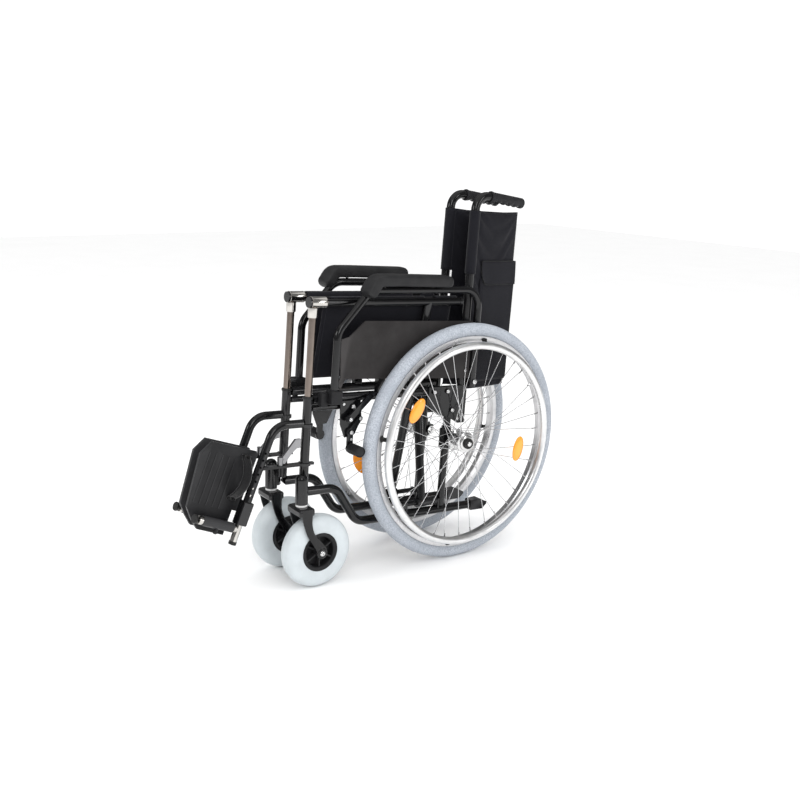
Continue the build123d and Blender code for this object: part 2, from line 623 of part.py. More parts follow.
def wheel_tyre():
    section = Plane.XZ * Pos(0, WHEEL_R - TYRE_R) * Circle(TYRE_R)
    tyre = revolve(section, Axis.X)
    tyre -= turned([(-13.5, 240), (13.5, 240), (13.5, RIM_R + 0.1), (-13.5, RIM_R + 0.1)], 0)
    return Pos(WHEEL_X, 0, WHEEL_R) * tyre


def wheel_rim():
    rim = turned(
        [
            (-13, RIM_R), (-13, 263), (-7, 257), (7, 257), (13, 263), (13, RIM_R),
            (11.2, RIM_R), (11.2, 265), (-11.2, 265), (-11.2, RIM_R),
        ],
        0,
    )
    return Pos(WHEEL_X, 0, WHEEL_R) * rim


def wheel_hub():
    low, high = HUB_X
    hub = turned(
        [
            (low, 9), (low, 27), (low + 3, 27), (low + 6, 15), (high - 12, 15), (high - 9, 27),
            (high - 6, 27), (high - 5, 20), (high, 20), (high, 9),
        ],
        0,
    )
    hub += rod((low, 0, 0), (high, 0, 0), 12)
    return Pos(0, 0, WHEEL_R) * (hub - rod((low - 20, 0, 0), (high + 20, 0, 0), AXLE_R + RUN))


def wheel_spokes():
    low, high = HUB_X
    flanges = ((low + 1.5 - WHEEL_X, -1), (high - 7.5 - WHEEL_X, 1))
    wires = []
    for index in range(SPOKES):
        flange_x, side = flanges[index % 2]
        lean = 1 if index % 4 < 2 else -1
        at_rim = math.radians(360 / SPOKES * index)
        at_hub = at_rim + lean * math.radians(62)
        start = (flange_x + 1.9 * lean, 24 * math.cos(at_hub), 24 * math.sin(at_hub))
        end = (side * (3.5 + lean), 258.5 * math.cos(at_rim), 258.5 * math.sin(at_rim))
        wires.append(rod(start, end, SPOKE_R))
    return Pos(WHEEL_X, 0, WHEEL_R) * Compound(children=wires)


def handrim():
    """The rim in equal lengths, each with the standoff in its middle."""
    offset = HANDRIM_X - WHEEL_X
    share = 360 / STANDOFFS
    section = Plane.XZ * Pos(offset, HANDRIM_R) * Circle(HANDRIM_TUBE_R)
    length = Rot(-share / 2, 0, 0) * revolve(section, Axis.X, revolution_arc=share)
    standoff = rod((10, 0, 267.5), (offset - 4, 0, HANDRIM_R + 3), 3.4)
    length += standoff - Pos(0, 0, 270) * Box(26.1, 40, 40)
    lengths = [Rot(share * step - 90, 0, 0) * length for step in range(STANDOFFS)]
    return Pos(WHEEL_X, 0, WHEEL_R) * Compound(children=lengths)


def wheel_reflectors():
    lenses = []
    for angle, radius in ((147, 190), (-13, 184)):
        lens = Ellipse(33, 16.5)
        solid = extrude(lens, amount=5)
        solid = chamfer(solid.faces().sort_by(Axis.Z)[-1].edges(), 1.5)
        upright = Plane(origin=(14.6, 0, radius), x_dir=(0, 1, 0), z_dir=(1, 0, 0)) * solid
        lenses.append(Rot(angle - 90, 0, 0) * upright)
    return Pos(WHEEL_X, 0, WHEEL_R) * Compound(children=lenses)


SIDED = {
    "front_post": front_post,
    "lower_rail": lower_rail,
    "side_frame": side_frame,
    "back_cane": back_cane,
    "push_grip": push_grip,
    "armrest_socket": armrest_socket,
    "guide_rod": guide_rod,
    "seat_rail": seat_rail,
    "seat_cloth": seat_half,
    "back_cloth": back_half,
    "armrest_tube": armrest_tube,
    "armrest_pad": armrest_pad,
    "side_guard": side_guard,
    "brake_lever": brake_lever,
    "brake_shoe": brake_shoe,
    "hanger_tube": hanger_tube,
    "hanger_lever": hanger_lever,
    "foot_tube": foot_tube,
    "footplate": footplate,
    "heel_loop": heel_loop,
    "caster_fork": caster_fork,
    "caster_tyre": caster_tyre,
    "caster_hub": caster_hub,
    "wheel_tyre": wheel_tyre,
    "wheel_rim": wheel_rim,
    "wheel_hub": wheel_hub,
    "wheel_spokes": wheel_spokes,
    "handrim": handrim,
    "wheel_reflectors": wheel_reflectors,
}


def main():
    os.makedirs("parts", exist_ok=True)
    for name, make in SIDED.items():
        left = HOME * make()
        export_step(left, f"parts/{name}_left.step")
        export_step(mirror(left, about=Plane.YZ), f"parts/{name}_right.step")
    export_step(HOME * cross_arm(0), "parts/cross_arm_a.step")
    export_step(HOME * cross_arm(1), "parts/cross_arm_b.step")


main()
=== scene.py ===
"""Folding manual wheelchair, folded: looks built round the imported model.

The user's left is +X, the front is -Y and +Z is up. Side-frame coordinates (x, u, v) have their
origin on the rear axle: u runs rearwards along the rails and v up the posts, in millimetres.
"""

import math

import bmesh
import bpy
from mathutils import Matrix, Vector, noise


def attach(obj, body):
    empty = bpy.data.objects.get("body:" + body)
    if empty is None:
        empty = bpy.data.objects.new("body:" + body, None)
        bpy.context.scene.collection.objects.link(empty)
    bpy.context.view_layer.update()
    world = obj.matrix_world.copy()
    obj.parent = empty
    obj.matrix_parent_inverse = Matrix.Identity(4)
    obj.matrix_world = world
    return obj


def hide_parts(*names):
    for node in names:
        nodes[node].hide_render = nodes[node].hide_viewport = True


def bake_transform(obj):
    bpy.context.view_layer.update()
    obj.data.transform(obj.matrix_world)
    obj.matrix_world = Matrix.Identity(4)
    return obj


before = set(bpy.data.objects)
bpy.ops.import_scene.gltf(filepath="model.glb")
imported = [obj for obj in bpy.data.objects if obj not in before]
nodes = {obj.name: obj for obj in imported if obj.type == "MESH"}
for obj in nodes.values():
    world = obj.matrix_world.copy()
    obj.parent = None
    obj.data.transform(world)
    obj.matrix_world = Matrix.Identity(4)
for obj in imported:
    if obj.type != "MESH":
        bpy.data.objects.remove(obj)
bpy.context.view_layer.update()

MM = 0.001
ORIGIN_Y = 210.07
WHEEL_R = 305.0
WHEEL_X = 98.9  # middle of the rear tyre
FRAME_X = 49  # middle of the side frame
CASTER_X, CASTER_Y, CASTER_Z = 72.0, -418.5, 90
RAKE = math.radians(3.1)
SIDES = (("left", 1), ("right", -1))
ACROSS = Vector((1, 0, 0))
SIDE_FRAME = Matrix.Translation((0, ORIGIN_Y * MM, WHEEL_R * MM)) @ Matrix.Rotation(-RAKE, 4, "X")
AXLE = Matrix.Translation((0, ORIGIN_Y * MM, WHEEL_R * MM))


def at(x, u, v):
    """A side-frame point in the row frame, in metres."""
    return SIDE_FRAME @ (Vector((x, u, v)) * MM)


def upright(x, y, z):
    """A point given upright from the axle's floor point, in metres."""
    return Vector((x, y + ORIGIN_Y, z)) * MM


# ---------------------------------------------------------------- materials


def base_material(name, colour, rough, metallic=0.0, reflect=0.5):
    """A new material: returns it with its node tree, its shader and the object coordinates."""
    mat = bpy.data.materials.new(name)
    mat.use_nodes = True
    tree = mat.node_tree
    shader = tree.nodes["Principled BSDF"]
    shader.inputs["Base Color"].default_value = (*colour, 1)
    shader.inputs["Roughness"].default_value = rough
    shader.inputs["Metallic"].default_value = metallic
    shader.inputs["Specular IOR Level"].default_value = reflect
    where = tree.nodes.new("ShaderNodeTexCoord").outputs["Object"]
    return mat, tree, shader, where


def add_noise(tree, where, scale, detail=3.0, rough=0.55):
    """A noise over the object, as a factor."""
    node = tree.nodes.new("ShaderNodeTexNoise")
    node.inputs["Scale"].default_value = scale
    node.inputs["Detail"].default_value = detail
    node.inputs["Roughness"].default_value = rough
    tree.links.new(where, node.inputs["Vector"])
    return node.outputs["Fac"]


def spread(tree, value, low, high, start=0.3, end=0.7):
    """Maps a factor onto low to high."""
    node = tree.nodes.new("ShaderNodeMapRange")
    node.inputs["From Min"].default_value = start
    node.inputs["From Max"].default_value = end
    node.inputs["To Min"].default_value = low
    node.inputs["To Max"].default_value = high
    tree.links.new(value, node.inputs["Value"])
    return node.outputs["Result"]


def blend_colours(tree, factor, first, second):
    """Mixes two colours, each given as values or as a socket."""
    node = tree.nodes.new("ShaderNodeMix")
    node.data_type = "RGBA"
    tree.links.new(factor, node.inputs[0])
    for socket, colour in ((node.inputs[6], first), (node.inputs[7], second)):
        if isinstance(colour, tuple):
            socket.default_value = (*colour, 1)
        else:
            tree.links.new(colour, socket)
    return node.outputs[2]


def add_bump(tree, shader, height, strength, distance):
    """Adds a bump on top of any the shader has already."""
    node = tree.nodes.new("ShaderNodeBump")
    node.inputs["Strength"].default_value = strength
    node.inputs["Distance"].default_value = distance
    tree.links.new(height, node.inputs["Height"])
    previous = shader.inputs["Normal"]
    if previous.is_linked:
        tree.links.new(previous.links[0].from_socket, node.inputs["Normal"])
    tree.links.new(node.outputs["Normal"], previous)


def edge_mask(tree, start=0.53, end=0.62):
    """1 on convex edges, for rubbed paint and burnished corners."""
    geometry = tree.nodes.new("ShaderNodeNewGeometry")
    return spread(tree, geometry.outputs["Pointiness"], 0.0, 1.0, start, end)


def paint(name, colour, rough=0.16, peel=0.25):
    """Powder-coated tube: an orange-peel skin, dust in the roughness, rubbed edges."""
    mat, tree, shader, where = base_material(name, colour, rough, 0.0, 0.42)
    dust = add_noise(tree, where, 22, 6)
    tree.links.new(spread(tree, dust, rough * 0.75, rough * 1.7), shader.inputs["Roughness"])
    light = tuple(min(1.0, c * 1.5 + 0.003) for c in colour)
    tone = blend_colours(tree, spread(tree, add_noise(tree, where, 9, 4), 0, 0.5), colour, light)
    worn = blend_colours(tree, edge_mask(tree), tone, tuple(c * 2.5 + 0.01 for c in colour))
    tree.links.new(worn, shader.inputs["Base Color"])
    add_bump(tree, shader, add_noise(tree, where, 420, 2), peel * 0.3, 0.0004)
    return mat


def metal(name, colour, rough, brushed=0.0, around=None):
    """Bare metal with fine polishing marks and uneven sheen."""
    mat, tree, shader, where = base_material(name, colour, rough, 1.0)
    cloud = add_noise(tree, where, 14, 5)
    tree.links.new(spread(tree, cloud, rough * 0.7, rough * 1.5), shader.inputs["Roughness"])
    dull = tuple(c * 0.8 for c in colour)
    tree.links.new(
        blend_colours(tree, spread(tree, add_noise(tree, where, 45, 4), 0, 0.7), colour, dull),
        shader.inputs["Base Color"],
    )
    if brushed:
        stretch = tree.nodes.new("ShaderNodeMapping")
        stretch.inputs["Scale"].default_value = around or (900, 30, 30)
        tree.links.new(where, stretch.inputs["Vector"])
        add_bump(tree, shader, add_noise(tree, stretch.outputs["Vector"], 1.0, 2), brushed, 0.0002)
    return mat


def plastic(name, colour, rough, grain=0.3, grain_scale=700):
    """Moulded plastic: a fine spark-eroded grain, scuffs and paler edges."""
    mat, tree, shader, where = base_material(name, colour, rough, 0.0, 0.22)
    scuff = add_noise(tree, where, 30, 6)
    tree.links.new(spread(tree, scuff, rough * 0.85, min(1, rough * 1.35)), shader.inputs["Roughness"])
    pale = tuple(min(1, c * 1.5 + 0.01) for c in colour)
    tone = blend_colours(tree, spread(tree, add_noise(tree, where, 12, 5), 0, 0.6), colour, pale)
    edges = blend_colours(tree, edge_mask(tree), tone, tuple(min(1, c * 1.9 + 0.02) for c in colour))
    tree.links.new(edges, shader.inputs["Base Color"])
    add_bump(tree, shader, add_noise(tree, where, grain_scale, 2), grain, 0.0003)
    return mat


def rubber(name, colour, rough, grain_scale=260, grain=0.25):
    """Rubber or foam skin: soft mottling and a fine bloom."""
    mat, tree, shader, where = base_material(name, colour, rough, 0.0, 0.25)
    bloom = add_noise(tree, where, 18, 6)
    tree.links.new(spread(tree, bloom, rough * 0.9, min(1, rough * 1.2)), shader.inputs["Roughness"])
    pale = tuple(min(1, c * 1.13 + 0.008) for c in colour)
    tree.links.new(
        blend_colours(tree, spread(tree, add_noise(tree, where, 26, 5), 0, 1), colour, pale),
        shader.inputs["Base Color"],
    )
    add_bump(tree, shader, add_noise(tree, where, grain_scale, 3), grain, 0.0005)
    return mat


def speckled(name, dark, light, rough):
    """Knurled tyre rubber: painted shade between the knurls and painted light on their tops, scaled by a slow
    noise.
    """
    mat, tree, shader, where = base_material(name, light, rough)
    knurl = tree.nodes.new("ShaderNodeTexVoronoi")
    knurl.inputs["Scale"].default_value = 330
    tree.links.new(where, knurl.inputs["Vector"])
    tops = spread(tree, knurl.outputs["Distance"], 1.0, 0.0, 0.1, 0.75)
    slow = spread(tree, add_noise(tree, where, 16, 6), 0.35, 1.0)
    # painted shade and light: dark between the knurls, light on their tops, scaled by a slow noise
    knurl_shade_and_light = tree.nodes.new("ShaderNodeMath")
    knurl_shade_and_light.operation = "MULTIPLY"
    tree.links.new(tops, knurl_shade_and_light.inputs[0])
    tree.links.new(slow, knurl_shade_and_light.inputs[1])
    tree.links.new(blend_colours(tree, knurl_shade_and_light.outputs[0], dark, light), shader.inputs["Base Color"])
    add_bump(tree, shader, tops, 0.5, 0.0006)
    return mat


def woven(name, colour, pitch, rough=0.78, depth=0.5, sheen=0.12, across="Z"):
    """Woven cloth: warp and weft waves with slubs, over slow shading from handling."""
    mat, tree, shader, where = base_material(name, colour, rough, 0.0, 0.16)
    shader.inputs["Sheen Weight"].default_value = sheen
    shader.inputs["Sheen Roughness"].default_value = 0.4
    threads = []
    for direction in (across, "DIAGONAL"):
        wave = tree.nodes.new("ShaderNodeTexWave")
        wave.wave_type = "BANDS"
        wave.bands_direction = direction
        wave.inputs["Scale"].default_value = 0.314 / pitch
        wave.inputs["Distortion"].default_value = 0.6
        wave.inputs["Detail"].default_value = 1.0
        tree.links.new(where, wave.inputs["Vector"])
        threads.append(wave.outputs["Fac"])
    weave = tree.nodes.new("ShaderNodeMath")
    weave.operation = "MULTIPLY"
    for socket, thread in zip(weave.inputs, threads):
        tree.links.new(thread, socket)
    light = tuple(min(1, c * 1.6 + 0.006) for c in colour)
    cloud = spread(tree, add_noise(tree, where, 8, 5), 0.0, 0.8)
    tone = blend_colours(tree, cloud, colour, light)
    dark = tuple(c * 0.55 for c in colour)
    tree.links.new(blend_colours(tree, weave.outputs[0], dark, tone), shader.inputs["Base Color"])
    add_bump(tree, shader, weave.outputs[0], depth, pitch * 0.35)
    add_bump(tree, shader, add_noise(tree, where, 60, 4), 0.12, 0.002)
    return mat


BLACK = paint("gloss_black_paint", (0.003, 0.003, 0.0035), 0.12)
CHROME = metal("chrome_plate", (0.62, 0.6, 0.57), 0.1)
ROD_STEEL = metal("drawn_rod_steel", (0.24, 0.2, 0.175), 0.1, 0.2, (40, 900, 40))
SCREW = metal("zinc_screw", (0.72, 0.72, 0.72), 0.22)
ALLOY = metal("satin_rim_alloy", (0.7, 0.7, 0.71), 0.3, 0.25)
HUB_ALLOY = metal("polished_hub_alloy", (0.7, 0.7, 0.7), 0.14)
SPOKE = metal("spoke_wire", (0.72, 0.72, 0.73), 0.2)
HANDRIM = metal("anodised_handrim", (0.88, 0.88, 0.88), 0.33, 0.15)
NYLON = plastic("black_nylon", (0.008, 0.008, 0.009), 0.4)
LEVER_ALLOY = metal("cast_lever_alloy", (0.34, 0.34, 0.35), 0.28)
GUARD = plastic("guard_plastic", (0.02, 0.018, 0.018), 0.6, 0.5, 900)
CAP = plastic("black_cap", (0.005, 0.005, 0.005), 0.26)
GRIP = rubber("grip_rubber", (0.01, 0.01, 0.012), 0.62, 500, 0.35)
PAD = rubber("pad_foam_skin", (0.011, 0.011, 0.012), 0.46, 330, 0.4)
CASTER_TYRE = rubber("caster_rubber", (0.5, 0.54, 0.56), 0.32, 300, 0.12)
TYRE = speckled("grey_tyre_rubber", (0.3, 0.33, 0.375), (0.54, 0.57, 0.62), 0.6)
SHOE_RUBBER = rubber("shoe_rubber", (0.008, 0.008, 0.009), 0.45)
CLOTH = woven("nylon_upholstery", (0.011, 0.011, 0.016), 0.0009)
SEAT_CLOTH = woven("nylon_seat", (0.011, 0.011, 0.016), 0.0009, across="Y")
PIPING = woven("piping_tape", (0.005, 0.005, 0.006), 0.0012, 0.7, 0.6, 0.2)
WEBBING = woven("strap_webbing", (0.008, 0.008, 0.009), 0.0016, 0.75, 0.8, 0.3)
THREAD = rubber("sewing_thread", (0.03, 0.03, 0.036), 0.7, 1500, 0.5)
PLATE = plastic("footplate_nylon", (0.007, 0.007, 0.008), 0.36, 0.6, 520)
WASHER = plastic("pale_washer", (0.5, 0.5, 0.5), 0.4)


def reflector_material():
    """Orange prismatic lens: cube-corner cells under a clear face, with a painted glow of faint orange emission.
    """
    mat, tree, shader, where = base_material("reflector_lens", (0.95, 0.33, 0.015), 0.16)
    shader.inputs["Coat Weight"].default_value = 0.8
    shader.inputs["Coat Roughness"].default_value = 0.05
    # painted glow: the lens gives off a faint orange light of its own, though it is no lamp
    shader.inputs["Emission Color"].default_value = (1.0, 0.36, 0.02, 1)
    shader.inputs["Emission Strength"].default_value = 0.12
    cells = tree.nodes.new("ShaderNodeTexVoronoi")
    cells.inputs["Scale"].default_value = 420
    cells.inputs["Randomness"].default_value = 0.0
    tree.links.new(where, cells.inputs["Vector"])
    facets = spread(tree, cells.outputs["Distance"], 0.0, 1.0, 0.0, 0.8)
    tree.links.new(
        blend_colours(tree, facets, (0.98, 0.46, 0.03), (0.86, 0.22, 0.01)), shader.inputs["Base Color"]
    )
    add_bump(tree, shader, facets, 0.4, 0.0005)
    return mat


LENS = reflector_material()

MATERIAL_OF = {
    "front_post": BLACK, "lower_rail": BLACK, "side_frame": BLACK, "back_cane": BLACK,
    "push_grip": GRIP, "armrest_socket": NYLON, "guide_rod": ROD_STEEL, "seat_rail": BLACK,
    "seat_cloth": CLOTH, "back_cloth": CLOTH, "armrest_tube": BLACK, "armrest_pad": PAD,
    "side_guard": GUARD, "brake_lever": BLACK, "brake_shoe": BLACK, "hanger_tube": BLACK,
    "hanger_lever": LEVER_ALLOY, "foot_tube": CHROME, "footplate": PLATE, "heel_loop": WEBBING,
    "caster_fork": BLACK, "caster_tyre": CASTER_TYRE, "caster_hub": NYLON, "wheel_tyre": TYRE,
    "wheel_rim": ALLOY, "wheel_hub": HUB_ALLOY, "wheel_spokes": SPOKE, "handrim": HANDRIM,
    "wheel_reflectors": LENS,
}


def dress(node, mat):
    """Gives a CAD node one material, on its object and not on its mesh."""
    slots = nodes[node].material_slots
    for item in slots:
        item.link = "OBJECT"
        item.material = mat
    if not slots:
        nodes[node].data.materials.append(mat)


for part, mat in MATERIAL_OF.items():
    for side, _ in SIDES:
        dress(f"{part}_{side}", mat)
dress("cross_arm_a", BLACK)
dress("cross_arm_b", BLACK)

# ---------------------------------------------------------------- camera, light, floor

AZIMUTH, ELEVATION, ROLL = math.radians(53.576), math.radians(13.5), math.radians(1.722)
DISTANCE = 2.69425
TARGET = Vector((0.01378, -0.13811 + ORIGIN_Y * MM, 0.41196))


def set_camera():
    """The camera that sees the chair from its front left, a little above."""
    back = Vector(
        (
            math.sin(AZIMUTH) * math.cos(ELEVATION),
            -math.cos(AZIMUTH) * math.cos(ELEVATION),
            math.sin(ELEVATION),
        )
    )
    right = Vector((math.cos(AZIMUTH), math.sin(AZIMUTH), 0))
    up = back.cross(right)
    tilted = right * math.cos(ROLL) + up * math.sin(ROLL)
    raised = up * math.cos(ROLL) - right * math.sin(ROLL)
    camera = bpy.data.objects.new("camera", bpy.data.cameras.new("camera"))
    bpy.context.collection.objects.link(camera)
    turn = Matrix((tilted, raised, back)).transposed().to_4x4()
    camera.matrix_world = Matrix.Translation(TARGET + back * DISTANCE) @ turn
    camera.data.sensor_width = 36
    camera.data.lens = 48.24
    bpy.context.scene.camera = camera


def area_light(name, place, toward, size, power):
    """A rectangular light facing a point."""
    data = bpy.data.lights.new(name, "AREA")
    data.shape = "RECTANGLE"
    data.size, data.size_y = size
    data.energy = power
    light = bpy.data.objects.new(name, data)
    bpy.context.collection.objects.link(light)
    light.location = place
    light.rotation_euler = (Vector(toward) - Vector(place)).to_track_quat("-Z", "Y").to_euler()


def set_stage():
    """White surround behind the object, softer light around it, and a pale floor."""
    bpy.context.scene.view_settings.view_transform = "Standard"
    world = bpy.data.worlds.new("studio")
    bpy.context.scene.world = world
    world.use_nodes = True
    tree = world.node_tree
    surround = tree.nodes["Background"]
    surround.inputs["Color"].default_value = (1, 1, 1, 1)
    mirrored = tree.nodes.new("ShaderNodeLightPath").outputs["Is Glossy Ray"]
    tree.links.new(spread(tree, mirrored, 1.12, 0.22, 0, 1), surround.inputs["Strength"])
    mesh = bpy.data.meshes.new("floor")
    mesh.from_pydata([(-9, -9, 0), (9, -9, 0), (9, 9, 0), (-9, 9, 0)], [], [(0, 1, 2, 3)])
    floor = bpy.data.objects.new("floor", mesh)
    bpy.context.collection.objects.link(floor)
    mat, tree, shader, where = base_material("pale_floor", (0.86, 0.86, 0.86), 0.75)
    tone = spread(tree, add_noise(tree, where, 3, 4), 0.93, 0.95)
    tree.links.new(tone, shader.inputs["Base Color"])
    floor.data.materials.append(mat)
    area_light("overhead", (0.4, -0.3, 3.4), (0, 0, 0), (4.5, 4.5), 40)
    area_light("key", (2.6, -1.6, 2.2), (0, 0, 0.4), (1.2, 1.8), 26)
    area_light("side", (3.0, 1.6, 1.4), (0, 0.1, 0.4), (0.5, 2.0), 14)
    area_light("front", (-0.6, -3.2, 1.8), (0, 0, 0.4), (1.4, 0.8), 16)


set_camera()
set_stage()

# ---------------------------------------------------------------- mesh helpers


def make_object(name, bm, mat, body, smooth=True, bevel=0.0, levels=0, sharp=35):
    """A bmesh as a finished piece riding on its body."""
    bmesh.ops.recalc_face_normals(bm, faces=bm.faces)
    mesh = bpy.data.meshes.new(name)
    bm.to_mesh(mesh)
    bm.free()
    mesh.materials.append(mat)
    obj = bpy.data.objects.new(name, mesh)
    bpy.context.collection.objects.link(obj)
    if bevel:
        edge = obj.modifiers.new("edges", "BEVEL")
        edge.width = bevel
        edge.segments = 2
        edge.limit_method = "ANGLE"
        edge.angle_limit = math.radians(sharp)
    if levels:
        divide = obj.modifiers.new("smooth", "SUBSURF")
        divide.levels = divide.render_levels = levels
    if smooth:
        mesh.polygons.foreach_set("use_smooth", [True] * len(mesh.polygons))
        if not levels:
            mesh.set_sharp_from_angle(angle=math.radians(sharp))
    if body:
        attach(obj, body)
    return obj


def steps(start, end, count):
    """Evenly spaced values, with both ends."""
    return [start + (end - start) * i / count for i in range(count + 1)]


def round_wheel(angle):
    """Unit vectors out from the wheel's axle and along the rim, at an angle in radians."""
    return Vector((0, math.cos(angle), math.sin(angle))), Vector((0, -math.sin(angle), math.cos(angle)))


def frame_on(axis):
    """Two unit vectors across an axis."""
    axis = axis.normalized()
    side = axis.cross(Vector((0, 0, 1)) if abs(axis.z) < 0.9 else Vector((1, 0, 0))).normalized()
    return side, axis.cross(side).normalized()


def add_lathe(bm, centre, axis, profile, steps=32, closed=False):
    """Turns (along, radius) points, in metres, about an axis through centre."""
    side, other = frame_on(axis)
    axis = axis.normalized()
    rings = []
    for along, radius in profile:
        if radius < 1e-6:
            rings.append([bm.verts.new(centre + axis * along)])
            continue
        loop = []
        for step in range(steps):
            angle = math.tau * step / steps
            loop.append(
                bm.verts.new(
                    centre + axis * along + (side * math.cos(angle) + other * math.sin(angle)) * radius
                )
            )
        rings.append(loop)
    pairs = list(zip(rings, rings[1:] + rings[:1])) if closed else list(zip(rings, rings[1:]))
    for first, second in pairs:
        for step in range(steps):
            nxt = (step + 1) % steps
            if len(first) == 1:
                bm.faces.new((first[0], second[step], second[nxt]))
            elif len(second) == 1:
                bm.faces.new((first[step], second[0], first[nxt]))
            else:
                bm.faces.new((first[step], second[step], second[nxt], first[nxt]))
    if not closed:
        for ring in (rings[0], rings[-1]):
            if len(ring) > 1:
                bm.faces.new(ring)


def round_section(reach, deep, radius, count):
    """A closed (along, radius) section, in metres, centred at a radius."""
    turns = [math.tau * t / count for t in range(count)]
    return [(reach * math.sin(turn), radius + deep * math.cos(turn)) for turn in turns]


def add_head(bm, centre, normal, radius, tall=None):
    """A button-head screw with a socket."""
    tall = tall or radius * 0.55
    r = radius
    profile = [
        (0, r), (tall * 0.35, r), (tall * 0.8, r * 0.8), (tall, r * 0.55),
        (tall, r * 0.42), (tall * 0.5, r * 0.4), (tall * 0.5, 0),
    ]
    add_lathe(bm, centre, normal, profile, 18)


def add_nut(bm, centre, normal, radius, tall):
    """A hexagon nut over a washer, with the bolt's end showing."""
    add_lathe(bm, centre, normal, [(0, radius * 1.35), (tall * 0.2, radius * 1.35), (tall * 0.2, 0)], 20)
    profile = [(tall * 0.2, radius), (tall * 0.9, radius), (tall, radius * 0.88), (tall, 0)]
    add_lathe(bm, centre, normal, profile, 6)
    add_lathe(bm, centre, normal, [(tall, radius * 0.5), (tall * 1.3, radius * 0.44), (tall * 1.3, 0)], 14)


def join_rings(bm, rings, closed=False):
    """Faces between neighbouring rings of vertices; an open run is capped at its ends."""
    count = len(rings[0])
    for first, second in zip(rings, rings[1:] + rings[:1] if closed else rings[1:]):
        for k in range(count):
            following = (k + 1) % count
            bm.faces.new((first[k], second[k], second[following], first[following]))
    if not closed:
        bm.faces.new(rings[0])
        bm.faces.new(rings[-1])


def sweep_loop(bm, path, section):
    """Carries a closed section, given as a function of path index giving world points."""
    join_rings(bm, [[bm.verts.new(p) for p in section(i)] for i in range(len(path))])


def bend_points(points, radius, steps=6):
    """A polyline with its corners rounded."""
    result = [points[0]]
    for before, corner, after in zip(points, points[1:], points[2:]):
        first, second = (before - corner).normalized(), (after - corner).normalized()
        angle = first.angle(second)
        reach = min(
            radius / math.tan(angle / 2), (before - corner).length * 0.48, (after - corner).length * 0.48
        )
        start, end = corner + first * reach, corner + second * reach
        for step in range(steps + 1):
            t = step / steps
            result.append(start * (1 - t) ** 2 + corner * 2 * t * (1 - t) + end * t * t)
    result.append(points[-1])
    return result


def add_box(bm, low, high, place):
    """A box between two corners, each point passed through place(x, u, v)."""
    corners = {}
    for a in (0, 1):
        for b in (0, 1):
            for c in (0, 1):
                corners[a, b, c] = bm.verts.new(
                    place((low[0], high[0])[a], (low[1], high[1])[b], (low[2], high[2])[c])
                )
    for axis in range(3):
        for end in (0, 1):
            keys = [k for k in corners if k[axis] == end]
            keys.sort(key=lambda k: (k[(axis + 1) % 3], k[(axis + 1) % 3] ^ k[(axis + 2) % 3]))
            bm.faces.new([corners[k] for k in keys])


# ---------------------------------------------------------------- wheels


def rear_tyre(side, k):
    """A solid tyre with a knurled tread and shoulders, and smooth walls."""
    radius, tube = 287.5, 17.5
    around, across = ((900, 56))
    bm = bmesh.new()
    rings = []
    for i in range(around):
        angle = math.tau * i / around
        loop = []
        for j in range(across):
            turn = math.tau * j / across
            r = tube
            lean = math.cos(turn)
            if lean > -0.62:
                fade = min(1.0, (lean + 0.62) / 0.25)
                diamond = math.sin(angle * 225 + 9 * turn) * math.sin(angle * 225 - 9 * turn)
                rib = 0.5 if abs(math.sin(turn * 0.5) * 9 % 2 - 1) > 0.5 else 0.0
                r += fade * (0.42 * diamond + 0.18 * rib) - 0.45
                if abs(turn if turn < math.pi else turn - math.tau) < 0.12:
                    r += 0.25
            elif lean < -0.8:
                r -= 0.8
            out = radius + r * math.cos(turn)
            x = k * WHEEL_X + r * math.sin(turn)
            loop.append(bm.verts.new(AXLE @ (Vector((x, out * math.cos(angle), out * math.sin(angle))) * MM)))
        rings.append(loop)
    join_rings(bm, rings, closed=True)
    tyre = make_object(f"rear_tyre_{side}", bm, TYRE, f"wheel_{side}", sharp=80)
    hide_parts(f"wheel_tyre_{side}")


def rim_parts(side, k):
    """Spoke nipples and the rolled lips of the rim."""
    body = f"wheel_{side}"
    bm = bmesh.new()
    for index in range(36):
        lean = 1 if index % 4 < 2 else -1
        flank = -1 if index % 2 == 0 else 1
        out, _ = round_wheel(math.tau * index / 36)
        foot = Vector((k * (WHEEL_X + flank * (3.5 + lean)), 0, 0)) * MM
        start = AXLE @ (foot + out * 0.2445)
        axis = (AXLE.to_3x3() @ out).normalized()
        profile = [(0, 0.0009), (0.0008, 0.0018), (0.0125, 0.0019), (0.0125, 0.0027), (0.0145, 0.0027)]
        add_lathe(bm, start, axis, profile, 8)
    nipples = make_object(f"spoke_nipples_{side}", bm, HUB_ALLOY, body)
    bm = bmesh.new()
    for x in (-12.6, 12.6):
        centre = AXLE @ (Vector((k * (WHEEL_X + x), 0, 0)) * MM)
        add_lathe(bm, centre, ACROSS, round_section(0.0009, 0.0012, 0.2732, 8), 180, closed=True)
    lips = make_object(f"rim_lips_{side}", bm, ALLOY, body)


